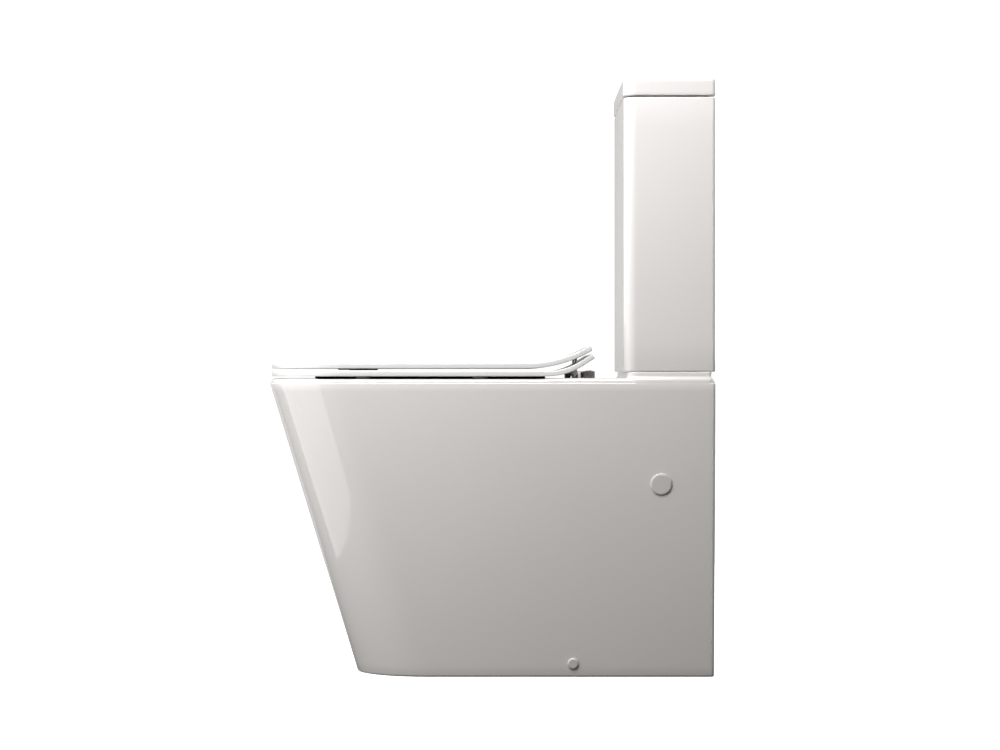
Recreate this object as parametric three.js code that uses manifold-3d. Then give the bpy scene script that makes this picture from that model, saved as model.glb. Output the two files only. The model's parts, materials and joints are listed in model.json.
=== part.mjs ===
// Close coupled toilet: a skirted pan, a hinged seat and lid, and a cistern with its flushing gear.
// Millimetres. +Z is up, the wall is on the +Y side and the user sits facing -Y.
// The origin is on the floor, under the middle of the object.

import * as THREE from 'three';
import { mergeVertices } from 'three/addons/utils/BufferGeometryUtils.js';
import Module from 'manifold-3d';

const wasm = await Module();
wasm.setup();

// ---------------------------------------------------------------- driving dimensions

const clearance = 0.3;          // air left between two pieces that touch
const halfDepth = 310.5;        // wall face to the front of the pan, halved
const frontBow = 1000;          // radius of the slightly bowed front edges
const straightBow = 20000;      // bow radius of front edges that are as good as straight
const washerHeight = 3;         // soft washers on the tank's floor
const degree = Math.PI / 180;

const pan = {
  topHalfWidth: 182.5,
  baseHalfWidth: 150,
  baseFront: -187,
  topCorner: 105,
  baseCorner: 102,
  backCorner: 4,
  shoulder: 404.4,              // height where the walls end and the rounded edge starts
  top: 412.4,
  edgeRadius: 8,
  wall: 12,
  deckUnderside: 394,
  landingDepth: 1.2,            // shallow step of the rim under the seat
  landingFront: -235,
  landingBack: 75,
  neckFront: 188.6,
  neckBack: 306,
  neckHalfWidth: 178,
  neckTop: 420.7,
  neckCorner: 14,
};

const bowl = {
  wall: 11,
  // height, half width, front, back, front corner radius, back corner radius
  sections: [
    [84, 26, -2, 50, 22, 20],
    [110, 36, -14, 54, 32, 24],
    [150, 46, -40, 58, 42, 34],
    [215, 64, -105, 62, 56, 42],
    [280, 92, -172, 66, 72, 50],
    [335, 116, -226, 72, 84, 56],
    [384, 130, -254, 80, 90, 60],
    [400, 137, -262, 84, 94, 62],
    [425, 137, -262, 84, 94, 62],
  ],
};

const trap = {
  bore: 36,
  wall: 10,
  start: [0, 26, 120],          // centre of the throat at the foot of the bowl
  bendRadius: 58,
  climbAngle: 60 * degree,
  climbLength: 69,
  fallAngle: 45 * degree,
  fallLength: 27,
  outletY: 300,
  spigotRadius: 51,
  spigotBore: 40,
  spigotLength: 34,
};

const flushWay = { y: 247, pocketRadius: 47, pocketFloor: 404, boreRadius: 33, floor: 372, halfWidth: 30 };

const tank = {
  halfWidth: 177.5,
  front: 184.2,
  back: 310.2,
  bottom: 421.1,
  top: 798,
  wall: 10,
  floor: 12,
  frontCorner: 17,
  backCorner: 4,
  outletRadius: 32,
};
const tankFloor = tank.bottom + tank.floor;

const tankLid = {
  halfWidth: 178.5,
  front: 183.2,
  back: 310.2,
  bottom: 800.6,
  top: 823.9,
  edgeRadius: 5,
  frontCorner: 18,
  plate: 10,
  ribGap: 4,                    // from the tank's inner wall to the locating rib
  ribWidth: 8,
  ribDrop: 7,
};

const ring = {
  halfWidth: 180,
  front: -308.5,
  bottom: 414.8,
  thickness: 7.4,
  corner: 103,
  flareStart: 80,
  flareRadius: 90,
  flareAngle: 32 * degree,
  flareTail: 20,
  openingHalfWidth: 112,
  openingFront: -243,
  openingBack: 74,
  openingCorner: 84,
  openingBackCorner: 66,
  backCorner: 18,
  planBack: 143,                // the flare is trimmed here
  lipWidth: 5,
  lipDepth: 3.6,
};

const lid = {
  halfWidth: 180,
  front: -308.5,
  bottom: 425.6,
  thickness: 7.8,
  corner: 103,
  flareStart: 52,
  flareRadius: 175.8,
  flareAngle: 30 * degree,
  backCorner: 18,
  planBack: 141,
};

// Soft feet under the seat, and soft pads under the lid.
const feet = { x: 158, frontY: -172.6, rearY: -12.4, radius: 11 };
const pads = { x: 150, halfWidth: 7, front: -208, back: -166, height: 1.8 };

const hinge = {
  y: 142,
  z: 418.5,
  pinRadius: 2.6,
  pinFrom: 56,
  pinTo: 98,
  pillarX: 92,
  pillarWidth: 16,
  pillarFront: 131.5,
  pillarBack: 147.6,
  pillarTop: 422.3,
  turretY: 120,                 // round turret in front of the pillar block
  turretRadius: 11,
  knuckleRadius: 5,
  ringArmX: 61,
  lidArmX: 74,
  armWidth: 8,
  armFront: 106,
  boltY: 139.55,
  boltRadius: 3.9,
  boltBottom: 362,
};

const tankBolt = { x: 75, y: flushWay.y, radius: 3.9, holeRadius: 5, bottom: 362, headRadius: 9, headTop: 9 };
const fillValve = {
  x: -135,
  y: flushWay.y,
  shankRadius: 10,
  holeRadius: 10.8,
  bottom: 386,
  flangeRadius: 17,
  riserRadius: 9,
  boreRadius: 5.5,
  headBottom: 640,
  headTop: 676,
  slotHalf: 5.6,                // half of the fork that holds the float's arm
  forkWall: 4,
};
const floatPivot = { x: -117, z: 660, pinRadius: 2.5, pinHalf: 9, armHalf: 3.5 };
const floatCan = { x: -83, halfWidth: 20.5, halfDepth: 30, bottom: 615, top: 650, roof: 3 };
const sideCap = { y: 236.4, z: 266.7, radius: 15, proud: 2, bevel: 3, plugRadius: 9, plugLength: 6 };
const fixingCap = { y: 115.9, z: 18.8, radius: 7.75, proud: 2.4, bevel: 2.6, plugRadius: 5.8, plugLength: 1 };

const valve = {
  boreRadius: 25,
  shankRadius: 30,
  flangeRadius: 42,
  coreRadius: 16,
  seatTop: tankFloor + 13,
  columnRing: 37,
  headBottom: 702,
  headTop: 740,
  shankBottom: 396,
  overflowTop: 675,
  sealHeight: 3,
};

const button = {
  radius: 20,
  sleeveRadius: 22,
  bezelRadius: 29,
  splitX: 4,
  travel: 7,
  fullRodX: -8,
  halfRodX: 12,
  rodRadius: 3.5,
  rodBottom: 724,
  plateRise: 2.6,               // the plates stand this far above the cover
  plateHeight: 11,
  sleeveBottom: 803,
};

// ---------------------------------------------------------------- materials

const finishes = {
  ceramic: { color: 0xf3f2ef, roughness: 0.12, metalness: 0 },
  seat_plastic: { color: 0xf5f5f4, roughness: 0.22, metalness: 0 },
  chrome: { color: 0xc9cbcd, roughness: 0.15, metalness: 1 },
  steel: { color: 0xa9abad, roughness: 0.4, metalness: 1 },
  white_plastic: { color: 0xe9e9e6, roughness: 0.45, metalness: 0 },
  grey_plastic: { color: 0x9aa0a5, roughness: 0.5, metalness: 0 },
  blue_plastic: { color: 0x4f7fa8, roughness: 0.5, metalness: 0 },
  buffer: { color: 0xc4c6c6, roughness: 0.55, metalness: 0 },
  rubber: { color: 0x2a2a2b, roughness: 0.8, metalness: 0 },
};

// ---------------------------------------------------------------- shape helpers

// Keeps positions only, joins shared corners, drops slivers and turns the faces outward.
function cleaned(geometry) {
  geometry.deleteAttribute('normal');
  geometry.deleteAttribute('uv');
  const merged = mergeVertices(geometry, 1e-4);
  const position = merged.getAttribute('position');
  const index = merged.getIndex().array;
  const faces = [];
  let volume = 0;
  const [a, b, c] = [new THREE.Vector3(), new THREE.Vector3(), new THREE.Vector3()];
  for (let i = 0; i < index.length; i += 3) {
    const [p, q, r] = index.slice(i, i + 3);
    if (p === q || q === r || r === p) continue;
    faces.push([p, q, r]);
    a.fromBufferAttribute(position, p);
    b.fromBufferAttribute(position, q);
    c.fromBufferAttribute(position, r);
    volume += a.dot(b.cross(c));
  }
  const outward = volume > 0 ? faces : faces.map(([p, q, r]) => [p, r, q]);
  merged.setIndex(outward.flat());
  return merged;
}

// A closed geometry as a solid that can be joined and cut.
function solid(geometry) {
  const clean = cleaned(geometry);
  return new wasm.Manifold(new wasm.Mesh({
    numProp: 3,
    vertProperties: new Float32Array(clean.getAttribute('position').array),
    triVerts: new Uint32Array(clean.getIndex().array),
  }));
}

function geometryOf(body) {
  const mesh = body.getMesh();
  const geometry = new THREE.BufferGeometry();
  geometry.setAttribute('position', new THREE.BufferAttribute(mesh.vertProperties, 3));
  geometry.setIndex(new THREE.BufferAttribute(mesh.triVerts, 1));
  geometry.computeVertexNormals();
  return geometry;
}

function box(low, high) {
  const size = high.map((value, i) => value - low[i]);
  const geometry = new THREE.BoxGeometry(...size);
  geometry.translate(...low.map((value, i) => value + size[i] / 2));
  return solid(geometry);
}

// A round bar between two points.
function rod(from, to, radius, sides = 24) {
  const start = new THREE.Vector3(...from);
  const end = new THREE.Vector3(...to);
  const along = end.clone().sub(start);
  const geometry = new THREE.CylinderGeometry(radius, radius, along.length(), sides);
  const up = new THREE.Vector3(0, 1, 0);
  const turn = new THREE.Quaternion().setFromUnitVectors(up, along.clone().normalize());
  geometry.applyQuaternion(turn);
  geometry.translate(...start.add(end).multiplyScalar(0.5).toArray());
  return solid(geometry);
}

// A turned piece: the profile is a list of [radius, height] points, spun about +Z at x, y.
function turned(profile, x = 0, y = 0, sides = 22) {
  const points = profile.map(([radius, height]) => new THREE.Vector2(radius, height));
  const geometry = new THREE.LatheGeometry(points, sides);
  geometry.rotateX(90 * degree);
  geometry.translate(x, y, 0);
  return solid(geometry);
}

// A turned ring with a rectangular section.
function tubeRing(inner, outer, bottom, top, x = 0, y = 0, sides = 22) {
  return turned([[inner, bottom], [outer, bottom], [outer, top], [inner, top], [inner, bottom]], x, y, sides);
}

function arcPoints(x, y, radius, from, to, steps) {
  const points = [];
  for (let i = 0; i <= steps; i += 1) {
    const angle = from + (to - from) * i / steps;
    points.push(new THREE.Vector2(x + radius * Math.cos(angle), y + radius * Math.sin(angle)));
  }
  return points;
}

// Plan outline: a bowed front edge, round front corners, straight sides and small back corners.
function planOutline({ halfWidth, front, back, corner, backCorner, bow = frontBow, cornerSteps = 8 }) {
  const reach = bow - corner;
  const cornerX = halfWidth - corner;
  const cornerY = front + bow - Math.sqrt(reach ** 2 - cornerX ** 2);
  const turn = Math.asin(cornerX / reach);
  const quarter = Math.PI / 2;
  const backX = halfWidth - backCorner;
  const backY = back - backCorner;
  return [
    ...arcPoints(0, front + bow, bow, -quarter - turn, -quarter + turn, 4),
    ...arcPoints(cornerX, cornerY, corner, turn - quarter, 0, cornerSteps).slice(1),
    ...arcPoints(backX, backY, backCorner, 0, quarter, 3),
    ...arcPoints(-backX, backY, backCorner, quarter, 2 * quarter, 3),
    ...arcPoints(-cornerX, cornerY, corner, 2 * quarter, 3 * quarter - turn, cornerSteps).slice(0, -1),
  ];
}

// A solid through a stack of outlines that all have the same number of points.
function loft(levels) {
  const count = levels[0].points.length;
  const position = [];
  for (const { z, points } of levels) points.forEach((point) => position.push(point.x, point.y, z));
  const index = [];
  for (let level = 0; level + 1 < levels.length; level += 1) {
    for (let i = 0; i < count; i += 1) {
      const a = level * count + i;
      const b = level * count + (i + 1) % count;
      index.push(a, b, b + count, a, b + count, a + count);
    }
  }
  const last = (levels.length - 1) * count;
  const capFaces = (level) => THREE.ShapeUtils.triangulateShape(levels.at(level).points, []);
  for (const [p, q, r] of capFaces(0)) index.push(p, r, q);
  for (const [p, q, r] of capFaces(-1)) index.push(last + p, last + q, last + r);
  const geometry = new THREE.BufferGeometry();
  geometry.setAttribute('position', new THREE.Float32BufferAttribute(position, 3));
  geometry.setIndex(index);
  return solid(geometry);
}

// A flat plate of one outline.
function plate(points, bottom, top) {
  return loft([{ z: bottom, points }, { z: top, points }]);
}

// A side profile, points as (y, z), drawn out across the whole width from -reach to +reach.
function acrossWidth(points, reach) {
  const settings = { depth: 2 * reach, bevelEnabled: false };
  const geometry = new THREE.ExtrudeGeometry(new THREE.Shape(points), settings);
  geometry.applyMatrix4(new THREE.Matrix4().makeBasis(
    new THREE.Vector3(0, 1, 0), new THREE.Vector3(0, 0, 1), new THREE.Vector3(1, 0, 0)));
  geometry.translate(-reach, 0, 0);
  return solid(geometry);
}

// Levels of a rounded top edge: the outline shrinks along a quarter circle.
function roundedEdge(outlineAt, top, radius, steps) {
  const levels = [];
  for (let i = 0; i <= steps; i += 1) {
    const angle = 90 * degree * i / steps;
    const inset = radius * (1 - Math.cos(angle));
    levels.push({ z: top - radius + radius * Math.sin(angle), points: outlineAt(inset) });
  }
  return levels;
}

// ---------------------------------------------------------------- the pan

// Half width and front of the pan's tapering walls at a height.
function panWallAt(z) {
  const share = z / pan.shoulder;
  return {
    halfWidth: pan.baseHalfWidth + share * (pan.topHalfWidth - pan.baseHalfWidth),
    front: pan.baseFront + share * (-halfDepth - pan.baseFront),
    corner: pan.baseCorner + share * (pan.topCorner - pan.baseCorner),
  };
}

function panOutlineAt(z, inset, back = halfDepth - inset) {
  const wall = panWallAt(z);
  return planOutline({
    halfWidth: wall.halfWidth - inset,
    front: wall.front + inset,
    back,
    corner: wall.corner - inset,
    backCorner: pan.backCorner,
  });
}

function panOuter() {
  const topEdge = roundedEdge((inset) => panOutlineAt(pan.shoulder, inset), pan.top, pan.edgeRadius, 4);
  return loft([{ z: 0, points: panOutlineAt(0, 0) }, ...topEdge]);
}

// The space under the deck, open to the floor and to the wall behind.
function panHollow() {
  const below = -20;
  const behind = halfDepth + 20;
  return loft([
    { z: below, points: panOutlineAt(below, pan.wall, behind) },
    { z: pan.deckUnderside, points: panOutlineAt(pan.deckUnderside, pan.wall, behind) },
  ]);
}

function bowlBody(grow) {
  return loft(bowl.sections.map(([z, halfWidth, front, back, corner, backCorner], i) => ({
    z: i === 0 ? z - grow : z,
    points: planOutline({
      halfWidth: halfWidth + grow,
      front: front - grow,
      back: back + grow,
      corner: corner + grow,
      backCorner: backCorner + grow,
      cornerSteps: 6,
    }),
  })));
}

// Centre line of the waste way: under the bowl, up over the weir and down to the outlet.
function trapPath() {
  const path = new THREE.CurvePath();
  let [, y, z] = trap.start;
  let heading = 0;
  const straight = (length) => {
    const from = new THREE.Vector3(0, y, z);
    y += length * Math.cos(heading);
    z += length * Math.sin(heading);
    path.add(new THREE.LineCurve3(from, new THREE.Vector3(0, y, z)));
  };
  const bend = (angle, pieces) => {
    const chord = 2 * trap.bendRadius * Math.sin(Math.abs(angle) / pieces / 2);
    for (let i = 0; i < pieces; i += 1) {
      heading += angle / pieces / 2;
      straight(chord);
      heading += angle / pieces / 2;
    }
  };
  straight(14);
  bend(trap.climbAngle, 4);
  straight(trap.climbLength);
  bend(-trap.climbAngle, 4);
  bend(-trap.fallAngle, 3);
  straight(trap.fallLength);
  bend(trap.fallAngle, 3);
  straight(trap.outletY - y);
  return path;
}

function trapTube(radius) {
  const circle = new THREE.Shape(arcPoints(0, 0, radius, 0, 2 * Math.PI, 16).slice(0, -1));
  const path = trapPath();
  return solid(new THREE.ExtrudeGeometry(circle, { steps: 20, bevelEnabled: false, extrudePath: path }));
}

// Height of the outlet's centre, where the waste way ends.
const outletZ = trapPath().getPoint(1).z;

function outletSpigot(radius, length) {
  return rod([0, trap.outletY - length, outletZ], [0, trap.outletY, outletZ], radius, 32);
}

// Raised pad that carries the cistern.
function neck() {
  const outline = (grow) => planOutline({
    halfWidth: pan.neckHalfWidth + grow,
    front: pan.neckFront - grow,
    back: pan.neckBack + grow / 2,
    corner: pan.neckCorner + grow,
    backCorner: pan.backCorner,
    bow: straightBow,
  });
  return loft([
    { z: pan.deckUnderside + 4, points: outline(0) },
    { z: pan.top - 0.5, points: outline(0) },
    { z: pan.neckTop, points: outline(0) },
  ]);
}

// Cuts the shallow landing that the seat's buffers rest on.
function landingCut() {
  const low = pan.top - pan.landingDepth;
  const slope = 5;
  return acrossWidth([
    new THREE.Vector2(pan.landingFront, low),
    new THREE.Vector2(pan.landingBack, low),
    new THREE.Vector2(pan.landingBack + slope, pan.top + 1),
    new THREE.Vector2(pan.landingFront - slope, pan.top + 1),
  ], pan.topHalfWidth + 5);
}

function flushDuct() {
  const cover = 11;
  const { y, floor, halfWidth } = flushWay;
  return box([-halfWidth - cover, 60, floor - cover], [halfWidth + cover, y + 45, pan.deckUnderside + 2]);
}

function flushDuctBore() {
  const { y, pocketRadius, pocketFloor, boreRadius, floor, halfWidth } = flushWay;
  const tunnel = box([-halfWidth, 60, floor], [halfWidth, y, pan.deckUnderside - 4]);
  const drop = rod([0, y, floor], [0, y, pocketFloor + 1], boreRadius, 28);
  const pocket = rod([0, y, pocketFloor], [0, y, pan.neckTop + 1], pocketRadius, 32);
  return tunnel.add(drop).add(pocket);
}

function panHoles() {
  const through = (x, y, radius) => rod([x, y, pan.deckUnderside - 1], [x, y, pan.neckTop + 1], radius, 16);
  let holes = through(fillValve.x, fillValve.y, 19);
  for (const side of [-1, 1]) {
    holes = holes.add(through(side * tankBolt.x, tankBolt.y, 6));
    holes = holes.add(through(side * hinge.pillarX, hinge.boltY, 6.5));
    const inner = side * (pan.baseHalfWidth - pan.wall - 6);
    const outer = side * (pan.topHalfWidth + 10);
    holes = holes.add(rod([inner, sideCap.y, sideCap.z], [outer, sideCap.y, sideCap.z], 10));
    holes = holes.add(rod([inner, fixingCap.y, fixingCap.z], [outer, fixingCap.y, fixingCap.z], 3.4));
    const seatOfHead = side * (panWallAt(fixingCap.z).halfWidth - 5);
    holes = holes.add(rod([seatOfHead, fixingCap.y, fixingCap.z], [outer, fixingCap.y, fixingCap.z], 6.2));
  }
  return holes;
}

function panBody() {
  const shell = panOuter().subtract(panHollow());
  const belowRim = box([-200, -400, 0], [200, 400, pan.deckUnderside + 6]);
  const bowlShell = bowlBody(bowl.wall).intersect(belowRim);
  return shell
    .add(bowlShell)
    .add(trapTube(trap.bore + trap.wall))
    .add(outletSpigot(trap.spigotRadius, trap.spigotLength))
    .add(flushDuct())
    .add(neck())
    .subtract(bowlBody(0))
    .subtract(trapTube(trap.bore))
    .subtract(outletSpigot(trap.spigotBore, trap.spigotLength - 6))
    .subtract(rod([0, trap.outletY - 1, outletZ], [0, trap.outletY + 40, outletZ], trap.spigotBore))
    .subtract(flushDuctBore())
    .subtract(landingCut())
    .subtract(panHoles());
}

// ---------------------------------------------------------------- the cistern

function tankOutline(inset) {
  return planOutline({
    halfWidth: tank.halfWidth - inset,
    front: tank.front + inset,
    back: tank.back - inset,
    corner: Math.max(tank.frontCorner - inset, 6),
    backCorner: tank.backCorner,
    bow: straightBow,
    cornerSteps: 5,
  });
}

function cisternTank() {
  const hole = (x, y, radius) => rod([x, y, tank.bottom - 1], [x, y, tankFloor + 1], radius, 28);
  let body = plate(tankOutline(0), tank.bottom, tank.top);
  body = body.subtract(plate(tankOutline(tank.wall), tankFloor, tank.top + 5));
  body = body.subtract(hole(0, flushWay.y, tank.outletRadius));
  body = body.subtract(hole(fillValve.x, fillValve.y, fillValve.holeRadius));
  for (const side of [-1, 1]) body = body.subtract(hole(side * tankBolt.x, tankBolt.y, tankBolt.holeRadius));
  return body;
}

function tankLidOutline(inset) {
  return planOutline({
    halfWidth: tankLid.halfWidth - inset,
    front: tankLid.front + inset,
    back: tankLid.back - inset,
    corner: Math.max(tankLid.frontCorner - inset, 5),
    backCorner: Math.max(tank.backCorner - inset, 2),
    bow: straightBow,
    cornerSteps: 5,
  });
}

// A thick cover plate with a locating rib that drops inside the tank's walls.
function cisternLid() {
  const topEdge = roundedEdge((inset) => tankLidOutline(inset), tankLid.top, tankLid.edgeRadius, 3);
  const ribInset = tank.wall + tankLid.ribGap;
  const hollowTop = tankLid.top - tankLid.plate;
  const slab = loft([{ z: tankLid.bottom, points: tankLidOutline(0) }, ...topEdge]);
  const rib = plate(tankLidOutline(ribInset), tankLid.bottom - tankLid.ribDrop, tankLid.bottom + 2);
  const hollow = plate(tankLidOutline(ribInset + tankLid.ribWidth), tankLid.bottom - 20, hollowTop);
  const buttonTop = [0, flushWay.y, tankLid.top + 5];
  const buttonHole = rod([0, flushWay.y, tankLid.bottom], buttonTop, button.sleeveRadius + 0.5);
  return slab.add(rib).subtract(hollow).subtract(buttonHole);
}

// ---------------------------------------------------------------- seat and lid

// Side profile of the seat or lid: flat, then flaring up in an arc towards the hinge.
function flaredProfile(part, tail) {
  const { front, bottom, thickness, flareStart, flareRadius, flareAngle } = part;
  const centreZ = bottom + flareRadius;
  const sweep = (radius) => arcPoints(flareStart, centreZ, radius, -90 * degree, flareAngle - 90 * degree, 8);
  const onward = new THREE.Vector2(Math.cos(flareAngle), Math.sin(flareAngle)).multiplyScalar(tail);
  const under = sweep(flareRadius);
  const over = sweep(flareRadius - thickness);
  if (tail > 0) {
    under.push(under.at(-1).clone().add(onward));
    over.push(over.at(-1).clone().add(onward));
  }
  return [
    new THREE.Vector2(front - 5, bottom),
    ...under,
    ...over.reverse(),
    new THREE.Vector2(front - 5, bottom + thickness),
  ];
}

function seatPlan(part) {
  return planOutline({
    halfWidth: part.halfWidth,
    front: part.front,
    back: part.planBack,
    corner: part.corner,
    backCorner: part.backCorner,
  });
}

// A hinge arm: a knuckle round the pin, a bar forward, and an upright into the plate it carries.
function hingeArm(x, uprightTop, uprightBack) {
  const half = hinge.armWidth / 2;
  const low = hinge.z - 4.3;
  const barTop = hinge.z + 1;
  const knuckle = rod([x - half, hinge.y, hinge.z], [x + half, hinge.y, hinge.z], hinge.knuckleRadius, 20);
  const bar = box([x - half, hinge.armFront, low], [x + half, hinge.y, barTop]);
  const upright = box([x - half, hinge.armFront, low], [x + half, uprightBack, uprightTop]);
  return knuckle.add(bar).add(upright);
}

function pinBore(x) {
  const reach = hinge.armWidth;
  return rod([x - reach, hinge.y, hinge.z], [x + reach, hinge.y, hinge.z], hinge.pinRadius + clearance, 16);
}

function seatOpening(grow) {
  return planOutline({
    halfWidth: ring.openingHalfWidth + grow,
    front: ring.openingFront - grow,
    back: ring.openingBack + grow,
    corner: ring.openingCorner + grow,
    backCorner: ring.openingBackCorner + grow,
  });
}

function seatRing() {
  const plan = plate(seatPlan(ring), ring.bottom - 2, ring.bottom + 60);
  const sheet = acrossWidth(flaredProfile(ring, ring.flareTail), ring.halfWidth + 5);
  const lip = plate(seatOpening(ring.lipWidth), ring.bottom - ring.lipDepth, ring.bottom + 2);
  const opening = plate(seatOpening(0), ring.bottom - 20, ring.bottom + 30);
  let body = sheet.intersect(plan).add(lip).subtract(opening);
  for (const side of [-1, 1]) {
    const notchX = side * hinge.lidArmX;
    const notchHalf = hinge.armWidth / 2 + 1.5;
    body = body.subtract(box([notchX - notchHalf, hinge.armFront - 3, 400], [notchX + notchHalf, 200, 460]));
    body = body.add(hingeArm(side * hinge.ringArmX, hinge.z + 5, hinge.armFront + 15));
    body = body.subtract(pinBore(side * hinge.ringArmX));
  }
  return body;
}

function seatLid() {
  const plan = plate(seatPlan(lid), lid.bottom - 2, lid.bottom + 60);
  let body = acrossWidth(flaredProfile(lid, 0), lid.halfWidth + 5).intersect(plan);
  for (const side of [-1, 1]) {
    body = body.add(hingeArm(side * hinge.lidArmX, lid.bottom + 12, hinge.armFront + 9));
    body = body.subtract(pinBore(side * hinge.lidArmX));
  }
  return body;
}

// A soft round foot: a flat disc with a rounded rim.
function buffer(x, y, bottom, top, radius) {
  const round = (top - bottom) * 0.6;
  return turned([
    [0, bottom], [radius - round, bottom], [radius, bottom + round], [radius, top], [0, top],
  ], x, y, 20);
}

function lidPad(x) {
  const low = [x - pads.halfWidth, pads.front, lid.bottom - pads.height];
  return box(low, [x + pads.halfWidth, pads.back, lid.bottom - clearance]);
}

// ---------------------------------------------------------------- hinges and fixings

function hingePillar(x) {
  const half = hinge.pillarWidth / 2;
  const middle = (hinge.pillarFront + hinge.pillarBack) / 2;
  const depth = (hinge.pillarBack - hinge.pillarFront) / 2;
  const outline = planOutline({
    halfWidth: half, front: -depth, back: depth, corner: 3, backCorner: 3, bow: 2000, cornerSteps: 3,
  }).map((point) => new THREE.Vector2(point.x + x, point.y + middle));
  const foot = pan.top + clearance;
  const block = plate(outline, foot, hinge.pillarTop);
  const turret = rod([x, hinge.turretY, foot], [x, hinge.turretY, hinge.pillarTop], hinge.turretRadius, 24);
  const bridge = box([x - 4, hinge.turretY, foot], [x + 4, middle, hinge.z - 5]);
  // The turret's top slopes to stay clear of the flaring seat above it.
  const underSeat = { ...ring, bottom: ring.bottom - 0.7 };
  const seatRoom = acrossWidth(flaredProfile(underSeat, ring.flareTail), ring.halfWidth);
  const boreRadius = hinge.pinRadius + clearance;
  const bore = rod([x - 20, hinge.y, hinge.z], [x + 20, hinge.y, hinge.z], boreRadius, 16);
  return block.add(turret).add(bridge).subtract(seatRoom).subtract(bore);
}

function hingePin(side) {
  const inner = [side * hinge.pinFrom, hinge.y, hinge.z];
  return rod(inner, [side * hinge.pinTo, hinge.y, hinge.z], hinge.pinRadius, 16);
}

function hingeBolt(x) {
  return rod([x, hinge.boltY, hinge.boltBottom], [x, hinge.boltY, pan.top], hinge.boltRadius, 18);
}

function wingNut(x, y, top, boltRadius) {
  const height = 9;
  const collar = tubeRing(boltRadius + clearance, boltRadius + 5, top - height, top, x, y, 20);
  const wing = box([x - 17, y - 1.6, top - height - 4], [x + 17, y + 1.6, top - 2]);
  const bore = rod([x, y, top - height - 6], [x, y, top + 1], boltRadius + clearance, 20);
  return collar.add(wing).subtract(bore);
}

function headedBolt(x, y, bottom, shankTop, headTop, radius, headRadius) {
  return turned([
    [0, bottom], [radius, bottom], [radius, shankTop],
    [headRadius, shankTop], [headRadius, headTop], [0, headTop],
  ], x, y, 18);
}

// An angle bracket on the floor inside the skirt, which the side screw pulls the pan onto.
function floorBracket(side) {
  const outer = panWallAt(0).halfWidth - pan.wall - 1;
  const long = 22;
  const foot = box([outer - 38, fixingCap.y - long, 0], [outer, fixingCap.y + long, 4]);
  const upright = box([outer - 10, fixingCap.y - 12, 0], [outer, fixingCap.y + 12, 34]);
  const { y, z } = fixingCap;
  const screwWay = rod([outer - 20, y, z], [outer + 5, y, z], 3.2, 16);
  const floorHole = rod([outer - 24, fixingCap.y, -1], [outer - 24, fixingCap.y, 6], 3.4, 16);
  const bracket = foot.add(upright).subtract(screwWay).subtract(floorHole);
  return side > 0 ? bracket : bracket.mirror([1, 0, 0]);
}

function floorScrew(side) {
  const x = panWallAt(0).halfWidth - pan.wall - 25;
  return headedBolt(side * x, fixingCap.y, 0.5, 4.3, 8, 2.9, 6);
}

function sideScrew() {
  return turned([[0, 0], [2.8, 0], [2.8, 21], [5.4, 24], [0, 24]], 0, 0, 16);
}

// Round cover cap with a bevelled rim and a short plug behind it, its face towards +Z.
function coverCap({ radius, proud, bevel, plugRadius, plugLength }) {
  return turned([
    [0, -plugLength], [plugRadius, -plugLength], [plugRadius, clearance], [radius, clearance],
    [radius, clearance + 0.6], [radius - bevel, proud + clearance], [0, proud + clearance],
  ], 0, 0, 24);
}

// ---------------------------------------------------------------- flush valve

function valveBase() {
  const y = flushWay.y;
  const { boreRadius, shankRadius, flangeRadius, shankBottom, seatTop } = valve;
  const flangeBottom = tankFloor + washerHeight + 2 * clearance;
  return turned([
    [boreRadius, shankBottom], [shankRadius, shankBottom], [shankRadius, flangeBottom],
    [flangeRadius, flangeBottom], [flangeRadius, flangeBottom + 4],
    [shankRadius + 2, flangeBottom + 4], [shankRadius, flangeBottom + 6],
    [boreRadius + 2, seatTop], [boreRadius, seatTop], [boreRadius, shankBottom],
  ], 0, y);
}

function valveTower() {
  const y = flushWay.y;
  const footBottom = tankFloor + washerHeight + 4 + 3 * clearance;
  let body = tubeRing(34, valve.flangeRadius, footBottom, footBottom + 6, 0, y);
  for (let i = 0; i < 4; i += 1) {
    const angle = (45 + 90 * i) * degree;
    const x = valve.columnRing * Math.cos(angle);
    const columnY = y + valve.columnRing * Math.sin(angle);
    body = body.add(rod([x, columnY, footBottom + 1], [x, columnY, valve.headBottom + 2], 4, 12));
  }
  body = body.add(rod([0, y, valve.headBottom], [0, y, valve.headTop], valve.flangeRadius - 1, 28));
  for (const x of [button.fullRodX, button.halfRodX]) {
    const bore = rod([x, y, valve.headBottom + 8], [x, y, valve.headTop + 1], button.rodRadius + 0.8, 16);
    body = body.subtract(bore);
  }
  return body;
}

// Moving core: a hollow overflow tube with a foot plate that carries the seal.
function valveCore() {
  const { boreRadius, coreRadius, overflowTop } = valve;
  const foot = valve.seatTop + valve.sealHeight + 2 * clearance;
  return turned([
    [coreRadius - 3, foot], [boreRadius + 6, foot], [boreRadius + 6, foot + 4],
    [coreRadius, foot + 7], [coreRadius, overflowTop], [coreRadius - 3, overflowTop], [coreRadius - 3, foot],
  ], 0, flushWay.y);
}

function flushSeal() {
  const bottom = valve.seatTop + clearance;
  const top = bottom + valve.sealHeight;
  return tubeRing(valve.coreRadius - 3, valve.boreRadius + 5.5, bottom, top, 0, flushWay.y);
}

// ---------------------------------------------------------------- flush buttons

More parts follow.
